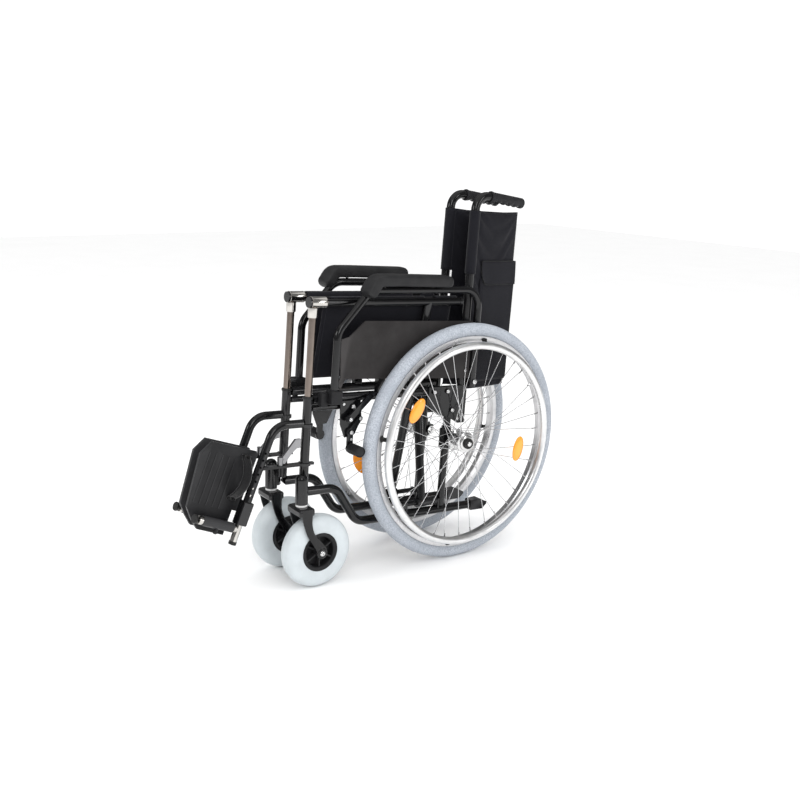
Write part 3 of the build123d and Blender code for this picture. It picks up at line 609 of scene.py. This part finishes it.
def hand_rim(side, k):
    """The tubular handrim with its black standoffs clipped to the wheel rim."""
    body = f"wheel_{side}"
    centre = AXLE @ (Vector((k * 129.0, 0, 0)) * MM)
    bm = bmesh.new()
    add_lathe(bm, centre, ACROSS, round_section(0.00945, 0.00945, 0.253, 28), 220, closed=True)
    rim = make_object(f"hand_rim_{side}", bm, HANDRIM, body, sharp=60)
    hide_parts(f"handrim_{side}")
    bm = bmesh.new()
    for step in range(4):
        out, along = round_wheel(math.radians(90 * step - 10))
        start, end = Vector((k * 111.8, 0, 0)) + out * 266, Vector((k * 126.5, 0, 0)) + out * 254.5
        axis = (end - start).normalized()
        across = axis.cross(along).normalized()
        rings = []
        shape = ((0, 8.5, 5.5), (0.12, 8.5, 5.5), (0.3, 5.6, 4.0), (0.75, 5.0, 3.8), (1.0, 7.0, 4.2))
        for t, wide, thick in shape:
            middle = start.lerp(end, t)
            loop = []
            for c in range(12):
                turn = math.tau * c / 12
                offset = along * wide * math.cos(turn) + across * thick * math.sin(turn)
                loop.append(bm.verts.new(AXLE @ ((middle + offset) * MM)))
            rings.append(loop)
        join_rings(bm, rings)
    posts = make_object(f"handrim_standoffs_{side}", bm, CAP, body)


def hub_parts(side, k):
    """Polished hub shell with its flanges, the quick-release cap and its button."""
    body = f"wheel_{side}"
    bm = bmesh.new()
    middle = AXLE @ (Vector((k * 74.0, 0, 0)) * MM)
    axis = Vector((k, 0, 0))
    profile = [
        (0.0002, 0.0068), (0, 0.0235), (0.0006, 0.0268), (0.0026, 0.0268), (0.0038, 0.0245),
        (0.0056, 0.0168), (0.012, 0.0152), (0.022, 0.0146), (0.03, 0.0152), (0.0336, 0.0172),
        (0.0358, 0.0245), (0.037, 0.0268), (0.0388, 0.0268), (0.0396, 0.0246), (0.0402, 0.0206),
        (0.0444, 0.0202), (0.045, 0.0192), (0.045, 0.0068),
    ]
    add_lathe(bm, middle, axis, profile, 64, closed=True)
    hub = make_object(f"hub_shell_{side}", bm, HUB_ALLOY, body)
    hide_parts(f"wheel_hub_{side}")
    bm = bmesh.new()
    place = AXLE @ (Vector((k * 120.0, 0, 0)) * MM)
    profile = [
        (-0.0004, 0.0139), (0.0042, 0.0141), (0.0066, 0.0128), (0.0071, 0.0095), (0.0064, 0.0082), (0.0064, 0),
    ]
    add_lathe(bm, place, axis, profile, 48)
    cap = make_object(f"axle_cap_{side}", bm, CAP, f"frame_{side}")
    bm = bmesh.new()
    add_lathe(bm, place, axis, [(0.0058, 0.0066), (0.0088, 0.0062), (0.0096, 0.0048), (0.0098, 0)], 32)
    button = make_object(f"axle_button_{side}", bm, SCREW, f"frame_{side}")


def lenses(side, k):
    """Oval spoke reflectors: a domed lens in a thin bezel, clipped over two spokes."""
    standing = 0 if k > 0 else 60
    for number, (angle, radius) in enumerate(((147, 190), (-13, 184)), 1):
        out, along = round_wheel(math.radians(angle + standing))
        middle = Vector((k * 113.2, 0, 0)) + out * radius
        bm = bmesh.new()
        rings = []
        shape = (
            (0, 33.3, 16.3), (2.2, 33.5, 16.5), (3.6, 32.6, 15.7),
            (4.2, 30.5, 13.8), (5.4, 22, 9.5), (5.9, 9, 4),
        )
        for rise, long_half, short_half in shape:
            loop = []
            for c in range(48):
                t = math.tau * c / 48
                offset = along * long_half * math.cos(t) + out * short_half * math.sin(t)
                loop.append(bm.verts.new(AXLE @ ((middle + Vector((k * rise, 0, 0)) + offset) * MM)))
            rings.append(loop)
        join_rings(bm, rings)
        lens = make_object(f"reflector_{number}_{side}", bm, LENS, f"wheel_{side}", sharp=50)
        if number == 1:
            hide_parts(f"wheel_reflectors_{side}")


def smooth_between(points, count):
    """Points along a smooth curve through the given 2-D points."""
    result = []
    padded = [points[0]] + list(points) + [points[-1]]
    for p0, p1, p2, p3 in zip(padded, padded[1:], padded[2:], padded[3:]):
        for step in range(count):
            t = step / count
            point = []
            for a, b, c, d in zip(p0, p1, p2, p3):
                square, cube = 2 * a - 5 * b + 4 * c - d, 3 * b - a - 3 * c + d
                point.append(0.5 * (2 * b + (c - a) * t + square * t * t + cube * t**3))
            result.append(tuple(point))
    result.append(tuple(points[-1]))
    return result


def caster_tread(side, k):
    """Balloon tyre: flat white walls, rounded shoulders and fine moulded rings."""
    outline = [(20.6, 46.6), (22.6, 49), (23.7, 56), (23.9, 66), (22.6, 75), (19.0, 82), (12.5, 87.4), (0, 89.8)]
    half = smooth_between(outline, 8)
    profile = []
    for x, r in half + [(-x, r) for x, r in reversed(half[:-1])]:
        if 76 < r < 89.2:
            r -= 0.35 * (0.5 + 0.5 * math.cos(math.tau * abs(x) / 2.6))
        profile.append((x * MM, r * MM))
    profile += [(-0.0185, 0.0432), (0.0185, 0.0432)]
    bm = bmesh.new()
    add_lathe(bm, upright(k * CASTER_X, CASTER_Y, CASTER_Z), ACROSS, profile, 128, closed=True)
    tyre = make_object(f"caster_tread_{side}", bm, CASTER_TYRE, f"caster_{side}", sharp=60)
    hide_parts(f"caster_tyre_{side}")


def caster_centre(side, k):
    """Moulded wheel centre: a broad black rim, a web, six ribs a side and a boss."""
    centre = upright(k * CASTER_X, CASTER_Y, CASTER_Z)
    bm = bmesh.new()
    half_rim = [
        (2, 36.4), (19.4, 37.4), (20.8, 38.6), (22.4, 44),
        (22.4, 46.8), (21.5, 48.2), (20.2, 47.2), (19.2, 43.4),
    ]
    half_web = [(2, 37.4), (2, 12)]
    half_boss = [(4, 13.8), (23.2, 12.6), (24.2, 11.6), (24.2, 4.2)]
    for half, count in ((half_rim, 96), (half_web, 96), (half_boss, 48)):
        whole = [(-x, r) for x, r in reversed(half)] + half
        add_lathe(bm, centre, ACROSS, [(x * MM, r * MM) for x, r in whole], count, closed=True)
    for step in range(12):
        out, along = round_wheel(math.radians(30 + 60 * (step // 2)))
        flank = 1 if step % 2 else -1

        def place(x, r, w, out=out, along=along):
            return centre + (Vector((x, 0, 0)) + out * r + along * w) * MM

        low, high = sorted((flank * 1.5, flank * 17.5))
        add_box(bm, (low, 12.5, -1.6), (high, 38, 1.6), place)
    hub = make_object(f"caster_centre_{side}", bm, NYLON, f"caster_{side}", bevel=0.0004)
    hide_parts(f"caster_hub_{side}")


def caster_fork(side, k):
    """Fork: boxed crown, swept legs with rounded edges, axle bosses, washer and bolts."""
    bm = bmesh.new()
    half, thick = 26.6, 5.6
    front = [(-475, 205), (-474, 190), (-468, 165), (-457.5, 137), (-443, 113), (-432, 93), (-429, 82)]
    rear = [(-444, 205), (-445.5, 190), (-446, 165), (-438.5, 141), (-419, 117), (-406, 99), (-408, 88)]
    edges = list(zip(smooth_between(front, 6), smooth_between(rear, 6)))
    for flank in (-1, 1):
        rings = []
        for (yf, zf), (yr, zr) in edges:
            loop = []
            for t in steps(0, math.tau, 16)[:-1]:
                wide = 0.5 - 0.5 * math.copysign(abs(math.cos(t)) ** 0.5, math.cos(t))
                deep = 0.5 + 0.5 * math.copysign(abs(math.sin(t)) ** 0.45, math.sin(t))
                x = k * CASTER_X + flank * (half + thick * deep)
                loop.append(bm.verts.new(upright(x, yf + (yr - yf) * wide, zf + (zr - zf) * wide)))
            rings.append(loop)
        join_rings(bm, rings)
        eye = upright(k * CASTER_X + flank * half, CASTER_Y, CASTER_Z)
        boss = [(-0.0012, 0.012), (0, 0.0138), (0.0042, 0.014), (0.0058, 0.0128), (0.0062, 0.0105), (0.0062, 0)]
        add_lathe(bm, eye, Vector((flank, 0, 0)), boss, 40)
    legs = make_object(f"fork_legs_{side}", bm, BLACK, f"fork_{side}", sharp=50)
    bm = bmesh.new()
    add_box(bm, (k * CASTER_X - 31.8, -479.5, 187), (k * CASTER_X + 31.8, -439, 206.6), upright)
    crown = make_object(f"fork_crown_{side}", bm, BLACK, f"fork_{side}", bevel=0.0055)
    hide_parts(f"caster_fork_{side}")
    bm = bmesh.new()
    profile = [(0, 0.0125), (0.001, 0.0139), (0.0052, 0.0139), (0.0056, 0.012), (0.0056, 0)]
    add_lathe(bm, upright(k * CASTER_X, -458.5, 206), Vector((0, 0, 1)), profile, 40)
    washer = make_object(f"fork_washer_{side}", bm, WASHER, f"fork_{side}")
    bm = bmesh.new()
    for flank in (-1, 1):
        eye = upright(k * CASTER_X + flank * 32.0, CASTER_Y, CASTER_Z)
        add_head(bm, eye, Vector((flank, 0, 0)), 0.0068, 0.0038)
    heads = make_object(f"caster_axle_heads_{side}", bm, SCREW, f"fork_{side}")


for side, k in SIDES:
    rear_tyre(side, k)
    rim_parts(side, k)
    hand_rim(side, k)
    hub_parts(side, k)
    lenses(side, k)
    caster_tread(side, k)
    caster_centre(side, k)
    caster_fork(side, k)

# ---------------------------------------------------------------- upholstery

HALF_FOLDED, HALF_OPEN, SLEEVE = 49.0, 194.0, 12.7
CREASE = math.sqrt(HALF_OPEN**2 + SLEEVE**2 - HALF_FOLDED**2)
PANEL = math.atan2(HALF_FOLDED, CREASE) - math.atan2(SLEEVE, HALF_OPEN)


def panel_line(s, k, lift=0.0):
    """Across the tube: the point s millimetres from the crease, (x, depth below the tube).

    Past the panel's end the line runs on round the tube. lift moves it off the cloth, outboard."""
    along = Vector((math.sin(PANEL), -math.cos(PANEL)))
    outward = Vector((math.cos(PANEL), math.sin(PANEL)))
    if s <= HALF_OPEN:
        point = Vector((0, CREASE)) + along * s + outward * lift
    else:
        turn = (s - HALF_OPEN) / SLEEVE
        inner = -outward
        spot = inner * math.cos(turn) + along * math.sin(turn)
        point = Vector((HALF_FOLDED, 0)) + spot * (SLEEVE + lift)
    return k * point.x, point.y


def rumple(p, seed, size):
    """Smooth noise over the cloth, a wrinkle's size in millimetres."""
    return noise.noise(Vector((p[0] / size + seed, p[1] / size, seed * 1.7)))


def both_ways(reach):
    """Distances from the crease, taken to both sides of it."""
    return [-s for s in reversed(reach[1:])] + reach


def cloth_grid(name, columns, rows, point, mat, keep=None, thick=0.0021):
    """A sheet over a grid: columns and rows are parameter lists; keep drops cells."""
    bm = bmesh.new()
    grid = [[bm.verts.new(point(a, b)) for b in rows] for a in columns]
    for i in range(len(columns) - 1):
        for j in range(len(rows) - 1):
            middle = ((columns[i] + columns[i + 1]) / 2, (rows[j] + rows[j + 1]) / 2)
            if keep is None or keep(*middle):
                bm.faces.new((grid[i][j], grid[i + 1][j], grid[i + 1][j + 1], grid[i][j + 1]))
    loose = [v for v in bm.verts if not v.link_faces]
    bmesh.ops.delete(bm, geom=loose, context="VERTS")
    obj = make_object(name, bm, mat, None, sharp=75)
    solid = obj.modifiers.new("thickness", "SOLIDIFY")
    solid.thickness = thick
    solid.offset = 0
    return obj


def drape(obj, frozen, inward, outward, grow=0.012, frames=18):
    """Lets the cloth settle under its weight with its held vertices fixed, then keeps the result.

    inward and outward cap how far a point may move across the sheet, in metres."""
    before = [v.co.copy() for v in obj.data.vertices]
    hold = obj.vertex_groups.new(name="held")
    for index, weight in frozen.items():
        hold.add([index], weight, "REPLACE")
    thickness = obj.modifiers["thickness"]
    thickness.show_viewport = False
    cloth = obj.modifiers.new("cloth", "CLOTH")
    while obj.modifiers[0] != cloth:
        obj.modifiers.move(obj.modifiers.find("cloth"), 0)
    settings = cloth.settings
    settings.quality = 5
    settings.mass = 0.25
    settings.air_damping = 2.0
    settings.tension_stiffness = settings.compression_stiffness = 25
    settings.shear_stiffness = 12
    settings.bending_stiffness = 1.2
    settings.vertex_group_mass = "held"
    settings.shrink_min = -grow
    cloth.point_cache.frame_start, cloth.point_cache.frame_end = 1, frames
    for number in range(1, frames + 1):
        bpy.context.scene.frame_set(number)
    settled = obj.evaluated_get(bpy.context.evaluated_depsgraph_get()).to_mesh()
    after = [v.co.copy() for v in settled.vertices]
    obj.modifiers.remove(cloth)
    thickness.show_viewport = True
    bpy.context.scene.frame_set(1)
    for vertex, old, new in zip(obj.data.vertices, before, after):
        move = new - old
        away = math.copysign(1, old.x) if abs(old.x) > 1e-4 else 0
        across = move.x * away
        move.x = away * max(-inward, min(outward, across))
        if move.length > max(inward, outward):
            move = move.normalized() * max(inward, outward)
        vertex.co = old + move
    obj.vertex_groups.remove(hold)


def back_upholstery():
    """One sheet from cane to cane, folded at the middle, with a sleeve round each cane's top."""
    low, high, sleeve_low = 121.5, 579.0, 422.0
    wrap = HALF_OPEN + math.tau * SLEEVE * 0.94
    columns = both_ways(steps(0, HALF_OPEN, 34) + steps(HALF_OPEN, wrap, 16)[1:])
    rows = steps(low, high, 70)

    def point(s, v):
        k = 1 if s >= 0 else -1
        depth = abs(s)
        free = max(0.0, min(1.0, (HALF_OPEN - depth) / 30)) * min(1.0, depth / 25)
        lift = free * (1.5 * rumple((depth, v * 0.55), 3.1 * k, 46) + 0.7 * rumple((depth, v), 7.7 * k, 17))
        pinch = depth - (168 - (high - v) * 1.25)
        if 0 < high - v < 75:
            lift -= free * 3.4 * math.exp(-((pinch / 9) ** 2)) * (1 - (high - v) / 75)
            lift += free * 2.0 * math.exp(-(((pinch + 15) / 9) ** 2)) * (1 - (high - v) / 75)
        if depth > HALF_OPEN:
            lift += 0.45 * rumple((depth * 0.5, v), 5.5, 30)
        if k * lift > 1.2 and depth < 25:
            lift = 1.2 * k
        x, u = panel_line(depth, k, lift)
        round_off = 2.4 * math.exp(-((depth / 4.5) ** 2))
        return at(x, 20 + u - round_off, v)

    def keep(s, v):
        return v > sleeve_low - 3 * math.sin(abs(s) * 0.3) or abs(s) < HALF_OPEN - 9

    sheet = cloth_grid("back_upholstery", columns, rows, point, CLOTH, keep)
    held = {}
    for vertex in sheet.data.vertices:
        spot = SIDE_FRAME.inverted() @ vertex.co / MM
        depth = CREASE - (spot.y - 20)
        if depth > HALF_OPEN - 18 or depth < 8:
            held[vertex.index] = 1.0
    drape(sheet, held, 0.003, 0.003)
    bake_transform(sheet)
    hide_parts("back_cloth_left", "back_cloth_right")


def seat_upholstery():
    """The seat sling between the rails, folded down at the middle and cut away round the arms."""
    low, high = -399.0, -21.0
    wrap = HALF_OPEN + SLEEVE * math.radians(112)
    columns = both_ways(steps(0, HALF_OPEN, 32) + steps(HALF_OPEN, wrap, 7)[1:])
    rows = steps(low, high, 60)

    def point(s, u):
        k = 1 if s >= 0 else -1
        depth = abs(s)
        free = max(0.0, min(1.0, (HALF_OPEN - depth) / 25)) * min(1.0, depth / 30)
        ripple = 1.4 * rumple((u * 1.3, depth * 0.4), 2.3 * k, 40) + 0.6 * rumple((u, depth), 9.1 * k, 15)
        front = math.exp(-(((u - low) / 14) ** 2))
        lift = -abs(free * ripple) - free * 1.6 * front
        x, down = panel_line(depth, k, lift)
        round_off = 2.0 * math.exp(-((depth / 4.0) ** 2))
        return at(x, u, 353 - down + round_off)

    def keep(s, u):
        arm = -105 if s > 0 else -78
        window = abs(u - arm) < 14 and abs(s) > HALF_OPEN - 2
        return not window

    sheet = cloth_grid("seat_upholstery", columns, rows, point, SEAT_CLOTH, keep)
    held = {}
    for vertex in sheet.data.vertices:
        spot = SIDE_FRAME.inverted() @ vertex.co / MM
        rise = spot.z - (353 - CREASE)
        if rise > CREASE - 16 or rise < 8:
            held[vertex.index] = 1.0
    drape(sheet, held, 0.004, 0.0002)
    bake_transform(sheet)
    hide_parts("seat_cloth_left", "seat_cloth_right")


def stitch_line(bm, points, pitch=4.2, length=2.7, radius=0.42):
    """Short raised stitches along a polyline of world points."""
    total, marks = 0.0, []
    for first, second in zip(points, points[1:]):
        span = (second - first).length / MM
        while total <= span:
            marks.append((first.lerp(second, total / span), (second - first).normalized()))
            total += pitch
        total -= span
    for place, along in marks:
        half = along * length * 0.5 * MM
        side, other = frame_on(along)
        rings = []
        for t, r in ((-1, 0.35), (-0.6, 1), (0.6, 1), (1, 0.35)):
            rings.append(
                [
                    bm.verts.new(
                        place + half * t + (side * math.cos(a) + other * math.sin(a)) * radius * r * MM
                    )
                    for a in (0.3, 1.87, 3.44, 5.01)
                ]
            )
        join_rings(bm, rings)


def upholstery_trim(side, k):
    """Stitches along the seams and edges of one half of the back and the seat."""
    bm = bmesh.new()

    def back(s, v, lift):
        x, u = panel_line(s, k, lift)
        return at(x, 20 + u, v)

    def seat(s, u, lift):
        x, down = panel_line(s, k, lift)
        return at(x, u, 353 - down)

    for lift in (1.9, -1.9):
        stitch_line(bm, [back(HALF_OPEN - 7, v, lift) for v in steps(396, 574, 20)])
        stitch_line(bm, [back(s, 573.5, lift) for s in steps(14, HALF_OPEN - 10, 16)])
        stitch_line(bm, [back(s, 129.5, lift) for s in steps(14, HALF_OPEN - 14, 16)])
    stitches = make_object(f"back_stitches_{side}", bm, THREAD, f"back_{side}")
    bm = bmesh.new()
    for u in (-391, -29):
        stitch_line(bm, [seat(s, u, 1.6) for s in steps(14, HALF_OPEN - 8, 16)])
    for u0, u1 in ((-394, -126), (-56, -24)):
        stitch_line(bm, [seat(HALF_OPEN - 9, u, 1.6) for u in steps(u0, u1, 8)])
    seams = make_object(f"seat_stitches_{side}", bm, THREAD, f"seat_{side}")


def pocket():
    """The pocket and its flap on the rear face of the back, across the fold."""
    low, top, width, drop = 136.0, 452.0, 139.0, 61.0

    def spot(s, v, lift):
        k = 1 if s >= 0 else -1
        x, u = panel_line(abs(s), k, lift)
        return at(x, 20 + u + (lift * 0.5 if abs(s) < 6 else 0), v)

    columns = steps(-width, width, 60)

    def bag(s, v):
        edge = min(1.0, (width - abs(s)) / 12, (v - low) / 10)
        puff = 1.3 + max(0.0, edge) * (1.6 + 0.8 * rumple((s, v * 0.6), 4.4, 38))
        return spot(s, v, 1.2 + puff)

    pouch = cloth_grid("back_pocket", columns, steps(low, top - 7, 36), bag, CLOTH, thick=0.0014)
    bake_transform(pouch)

    def flap(s, t):
        corner = max(0.0, (abs(s) - (width - 26)) / 26)
        bottom = drop * (1 - 0.42 * corner**2.2)
        v = top - bottom * t
        puff = 4.4 + 2.2 * t + 0.9 * rumple((s, v), 8.8, 30) * t
        return spot(s, v, puff)

    cover = cloth_grid("pocket_flap", columns, steps(0, 1, 14), flap, CLOTH, thick=0.0016)
    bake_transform(cover)
    for side, k in SIDES:
        bm = bmesh.new()
        line = [spot(k * s, top, 5.4) for s in steps(8, width, 24)]
        edge = [flap(k * s, 1.0) for s in steps(8, width, 30)]
        side_edge = [flap(k * width, t) for t in steps(1.0, 0.0, 6)]
        for path in (line, edge + side_edge[1:]):

            def ring(i, path=path):
                ahead = path[min(i + 1, len(path) - 1)] - path[max(i - 1, 0)]
                a, b = frame_on(ahead)
                turns = steps(0, math.tau, 8)[:-1]
                return [path[i] + (a * math.cos(t) + b * math.sin(t)) * 0.0013 for t in turns]

            sweep_loop(bm, path, ring)
        piping = make_object(f"pocket_piping_{side}", bm, PIPING, f"back_{side}")


back_upholstery()
seat_upholstery()
pocket()
for side, k in SIDES:
    upholstery_trim(side, k)

# ---------------------------------------------------------------- armrests, grips, footrests


def arm_pad(side, k):
    """A moulded foam pad: crowned top, tucked underside, its front turned down the tube."""
    spine = bend_points(
        [Vector((0, u, v)) for u, v in ((-323, 372), (-299, 410), (-250, 410.5), (-79, 408.5))], 26, 8
    )
    dense = []
    for first, second in zip(spine, spine[1:]):
        count = max(1, int((second - first).length / 6))
        dense += [first.lerp(second, i / count) for i in range(count)]
    dense.append(spine[-1])
    total = sum((b - a).length for a, b in zip(dense, dense[1:]))
    bm = bmesh.new()
    run, travelled = [], 0.0
    for i, point in enumerate(dense):
        if i:
            travelled += (point - dense[i - 1]).length
        run.append(travelled)

    def ring(i):
        ahead = (dense[min(i + 1, len(dense) - 1)] - dense[max(i - 1, 0)]).normalized()
        rise = Vector((0, -ahead.z, ahead.y))
        end = min(run[i], total - run[i])
        swell = math.sqrt(max(0.02, 1 - (1 - min(1.0, end / 13)) ** 2))
        half, up, down = 23.8 * (0.72 + 0.28 * swell), 14.0 * swell, 14.4 * (0.35 + 0.65 * swell)
        points = []
        for c in range(28):
            t = math.tau * c / 28
            cx, cy = math.cos(t), math.sin(t)
            shape = 0.36
            x = half * math.copysign(abs(cx) ** shape, cx)
            y = (up if cy > 0 else down) * math.copysign(abs(cy) ** (0.62 if cy > 0 else 0.3), cy)
            if cy > 0:
                y += 1.4 * math.cos(math.pi / 2 * x / half) * swell - 1.0
            spot = dense[i] + rise * y
            points.append(at(k * (93 + x), spot.y, spot.z))
        return points

    sweep_loop(bm, dense, ring)
    pad = make_object(f"arm_pad_{side}", bm, PAD, f"armrest_{side}", sharp=70, levels=1)
    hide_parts(f"armrest_pad_{side}")
    bm = bmesh.new()
    for u in (-262, -118):
        add_head(bm, at(k * 84, u, 396.4), at(0, 0, -1) - at(0, 0, 0), 0.0046)
    screws = make_object(f"pad_screws_{side}", bm, SCREW, f"armrest_{side}")


def grip(side, k):
    """Push grip: collar, ribbed upper side, finger scallops and a rounded end."""
    start, end = Vector((0, 20, 619)), Vector((0, 172, 603))
    axis = (end - start).normalized()
    first = end - axis * 110
    last = end + axis * 4.6
    length = (last - first).length
    down = Vector((0, axis.z, -axis.y))
    count = 150
    bm = bmesh.new()
    path = [first.lerp(last, i / count) for i in range(count + 1)]

    def ring(i):
        run = length * i / count
        left = length - run
        base = 13.4
        if run < 7:
            base = 14.8 - 0.6 * abs(run - 3.5) / 3.5
        tip = math.sqrt(max(0.0, 1 - (1 - min(1.0, left / 8.0)) ** 2)) if left < 8 else 1.0
        points = []
        for c in range(36):
            t = math.tau * c / 36
            below = max(0.0, -math.cos(t))
            r = base
            if 10 < run < length - 8:
                scallop = 0.5 - 0.5 * math.cos(math.tau * (run - 10) / 18.6)
                r -= 3.6 * scallop**1.4 * below**1.2
                r -= 0.28 * (0.5 + 0.5 * math.cos(run * 2.4)) * (1 - below)
            r *= tip
            spot = path[i] - down * math.cos(t) * r
            points.append(at(k * FRAME_X + math.sin(t) * r, spot.y, spot.z))
        return points

    sweep_loop(bm, path, ring)
    handle = make_object(f"hand_grip_{side}", bm, GRIP, f"frame_{side}", sharp=60)
    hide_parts(f"push_grip_{side}")


LEAN = math.radians(19.5)
FOOT = Vector((0, -606, -165))
T_DIR = Vector((0, math.sin(LEAN), math.cos(LEAN)))
P_DIR = Vector((0, -math.cos(LEAN), math.sin(LEAN)))


def foot(p, q, x, k):
    """A footrest point: p forward along the plate's rod, q up the foot tube."""
    spot = FOOT + P_DIR * p + T_DIR * q
    return at(k * x, spot.y, spot.z)


def foot_parts(side, k):
    """Heel strap with its screws, the plate's bolt, the rod's knob and the tube's plug."""
    rest = f"footrest_{side}"
    rows = steps(15, 39, 5)

    def strap(t, p):
        q = 57 + 108 * t
        bulge = 34 * math.sin(math.pi * min(1, max(0, (t - 0.06) / 0.88))) ** 0.7
        return foot(p, q, 23.6 + bulge + 0.3 * math.sin(p * 2.0), k)

    loop = cloth_grid(f"heel_strap_{side}", steps(0, 1, 44), rows, strap, WEBBING, thick=0.0019)
    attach(loop, rest)
    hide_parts(f"heel_loop_{side}")
    bm = bmesh.new()
    out = at(k, 0, 0) - at(0, 0, 0)
    for q in (61, 161):
        add_head(bm, foot(27, q, 24.6, k), out, 0.0058, 0.0032)
    add_head(bm, foot(53, -19.5, FRAME_X, k), at(0, *(-T_DIR).yz) - at(0, 0, 0), 0.0055, 0.004)
    heads = make_object(f"footplate_screws_{side}", bm, CAP, rest)
    bm = bmesh.new()
    forward = foot(1, 0, 0, 1) - foot(0, 0, 0, 1)
    profile = [
        (0, 0.004), (0.0045, 0.004), (0.0052, 0.0092), (0.0068, 0.0106),
        (0.0106, 0.0108), (0.0124, 0.0096), (0.0126, 0),
    ]
    add_lathe(bm, foot(105, 0, FRAME_X, k), forward, profile, 28)
    knob = make_object(f"rod_knob_{side}", bm, CAP, f"hanger_{side}")
    bm = bmesh.new()
    downward = foot(0, -1, 0, 1) - foot(0, 0, 0, 1)
    profile = [(0, 0.0092), (0.006, 0.0095), (0.0082, 0.0088), (0.0086, 0.006), (0.0078, 0.0052), (0.0078, 0)]
    add_lathe(bm, foot(0, -30, FRAME_X, k), downward, profile, 28)
    plug = make_object(f"foot_tube_plug_{side}", bm, CAP, f"hanger_{side}")


for side, k in SIDES:
    arm_pad(side, k)
    grip(side, k)
    foot_parts(side, k)

# ---------------------------------------------------------------- screws, caps and small fittings


def fittings(side, k):
    """Screws, nuts, tube caps, the brake's rubber and the tee on the guide rod."""
    frame_body = f"frame_{side}"
    out = Vector((k, 0, 0))
    bm = bmesh.new()
    for x, u, v, r in (
        (67.5, -76, 126, 5.2), (67.5, -34, 126, 5.2), (67.5, -15, 76, 5.2), (67.5, -320, 105, 5.6),
        (82.1, -335, 78, 5.0), (75.1, -326, 44, 5.0), (63.5, -302, 60, 3.8), (63.5, -345, 112, 3.8),
        (63.5, 6, 52, 4.4), (83.6, 37, 150, 6.4),
    ):
        add_head(bm, at(k * x, u, v), out, r * MM)
    add_nut(bm, at(k * 31, 0, 0), -out, 0.0082, 0.006)
    screws = make_object(f"frame_screws_{side}", bm, SCREW, frame_body)
    bm = bmesh.new()
    add_head(bm, at(k * 71.7, -300, 76), out, 0.0046)
    add_head(bm, at(k * 70.1, -322, 26), out, 0.0034)
    shoe = make_object(f"brake_arm_screws_{side}", bm, SCREW, f"shoe_{side}")
    bm = bmesh.new()
    for u in (-352, -240, -168, -40):
        add_head(bm, at(k * 42.2, u, 343.4), (at(k * -0.55, 0, -0.83) - at(0, 0, 0)), 0.0032)
    rail = make_object(f"seat_screws_{side}", bm, SCREW, "brace_b" if k > 0 else "brace_a")
    bm = bmesh.new()
    for v in (178, 286):
        add_head(bm, at(k * 70.2, 14, v), out, 0.0042)
    guard = make_object(f"guard_screws_{side}", bm, SCREW, f"armrest_{side}")
    # ribbed rubber over the brake shoe
    bm = bmesh.new()
    profile = [(0, 0.0)]
    x = 0.0
    while x < 0.0385:
        profile += [(x, 0.0122), (x + 0.0012, 0.0131), (x + 0.0026, 0.0131), (x + 0.0034, 0.0123)]
        x += 0.0038
    profile += [(0.0397, 0.0118), (0.0404, 0.0105), (0.0404, 0.0)]
    add_lathe(bm, at(k * 72.2, -323, 5), out, profile, 30)
    sleeve = make_object(f"shoe_rubber_{side}", bm, SHOE_RUBBER, f"shoe_{side}")
    # caps over the open tube ends
    bm = bmesh.new()
    rear = at(0, 1, 0) - at(0, 0, 0)
    profile = [(0, 0.0106), (0.0016, 0.0106), (0.003, 0.009), (0.0034, 0)]
    add_lathe(bm, at(k * FRAME_X, 8.9, 126), rear, profile, 28)
    up = at(0, 0, 1) - at(0, 0, 0)
    add_lathe(bm, at(k * FRAME_X, -15, 114.6), up, [(0, 0.0098), (0.001, 0.0098), (0.0018, 0)], 28)
    profile = [(-0.004, 0.0125), (0.0005, 0.0127), (0.002, 0.0118), (0.002, 0.0091), (-0.004, 0.0091)]
    add_lathe(bm, at(k * FRAME_X, -437, 132), up, profile, 32, closed=True)
    caps = make_object(f"frame_caps_{side}", bm, CAP, frame_body)
    # the bright tee that joins guide rod and seat rail
    bm = bmesh.new()
    profile = [
        (0, 0.01115), (0, 0.0129), (0.0012, 0.0138), (0.0028, 0.01345),
        (0.037, 0.01345), (0.0388, 0.0138), (0.04, 0.0129), (0.04, 0.01115),
    ]
    add_lathe(bm, at(k * FRAME_X, -446, 353), rear, profile, 36, closed=True)
    profile = [(0, 0.0088), (0, 0.0112), (0.0015, 0.0118), (0.0225, 0.0118), (0.0225, 0.0088)]
    add_lathe(bm, at(k * FRAME_X, -437, 318), up, profile, 32, closed=True)
    tee = make_object(f"guide_tee_{side}", bm, CHROME, f"guide_{side}")


for side, k in SIDES:
    fittings(side, k)

bm = bmesh.new()
front = at(0, -1, 0) - at(0, 0, 0)
add_head(bm, at(0, -124, 93.5), front, 0.0072)
add_nut(bm, at(0, -64, 93.5), -front, 0.0068, 0.0055)
bolt = make_object("brace_bolt", bm, SCREW, "brace_a")
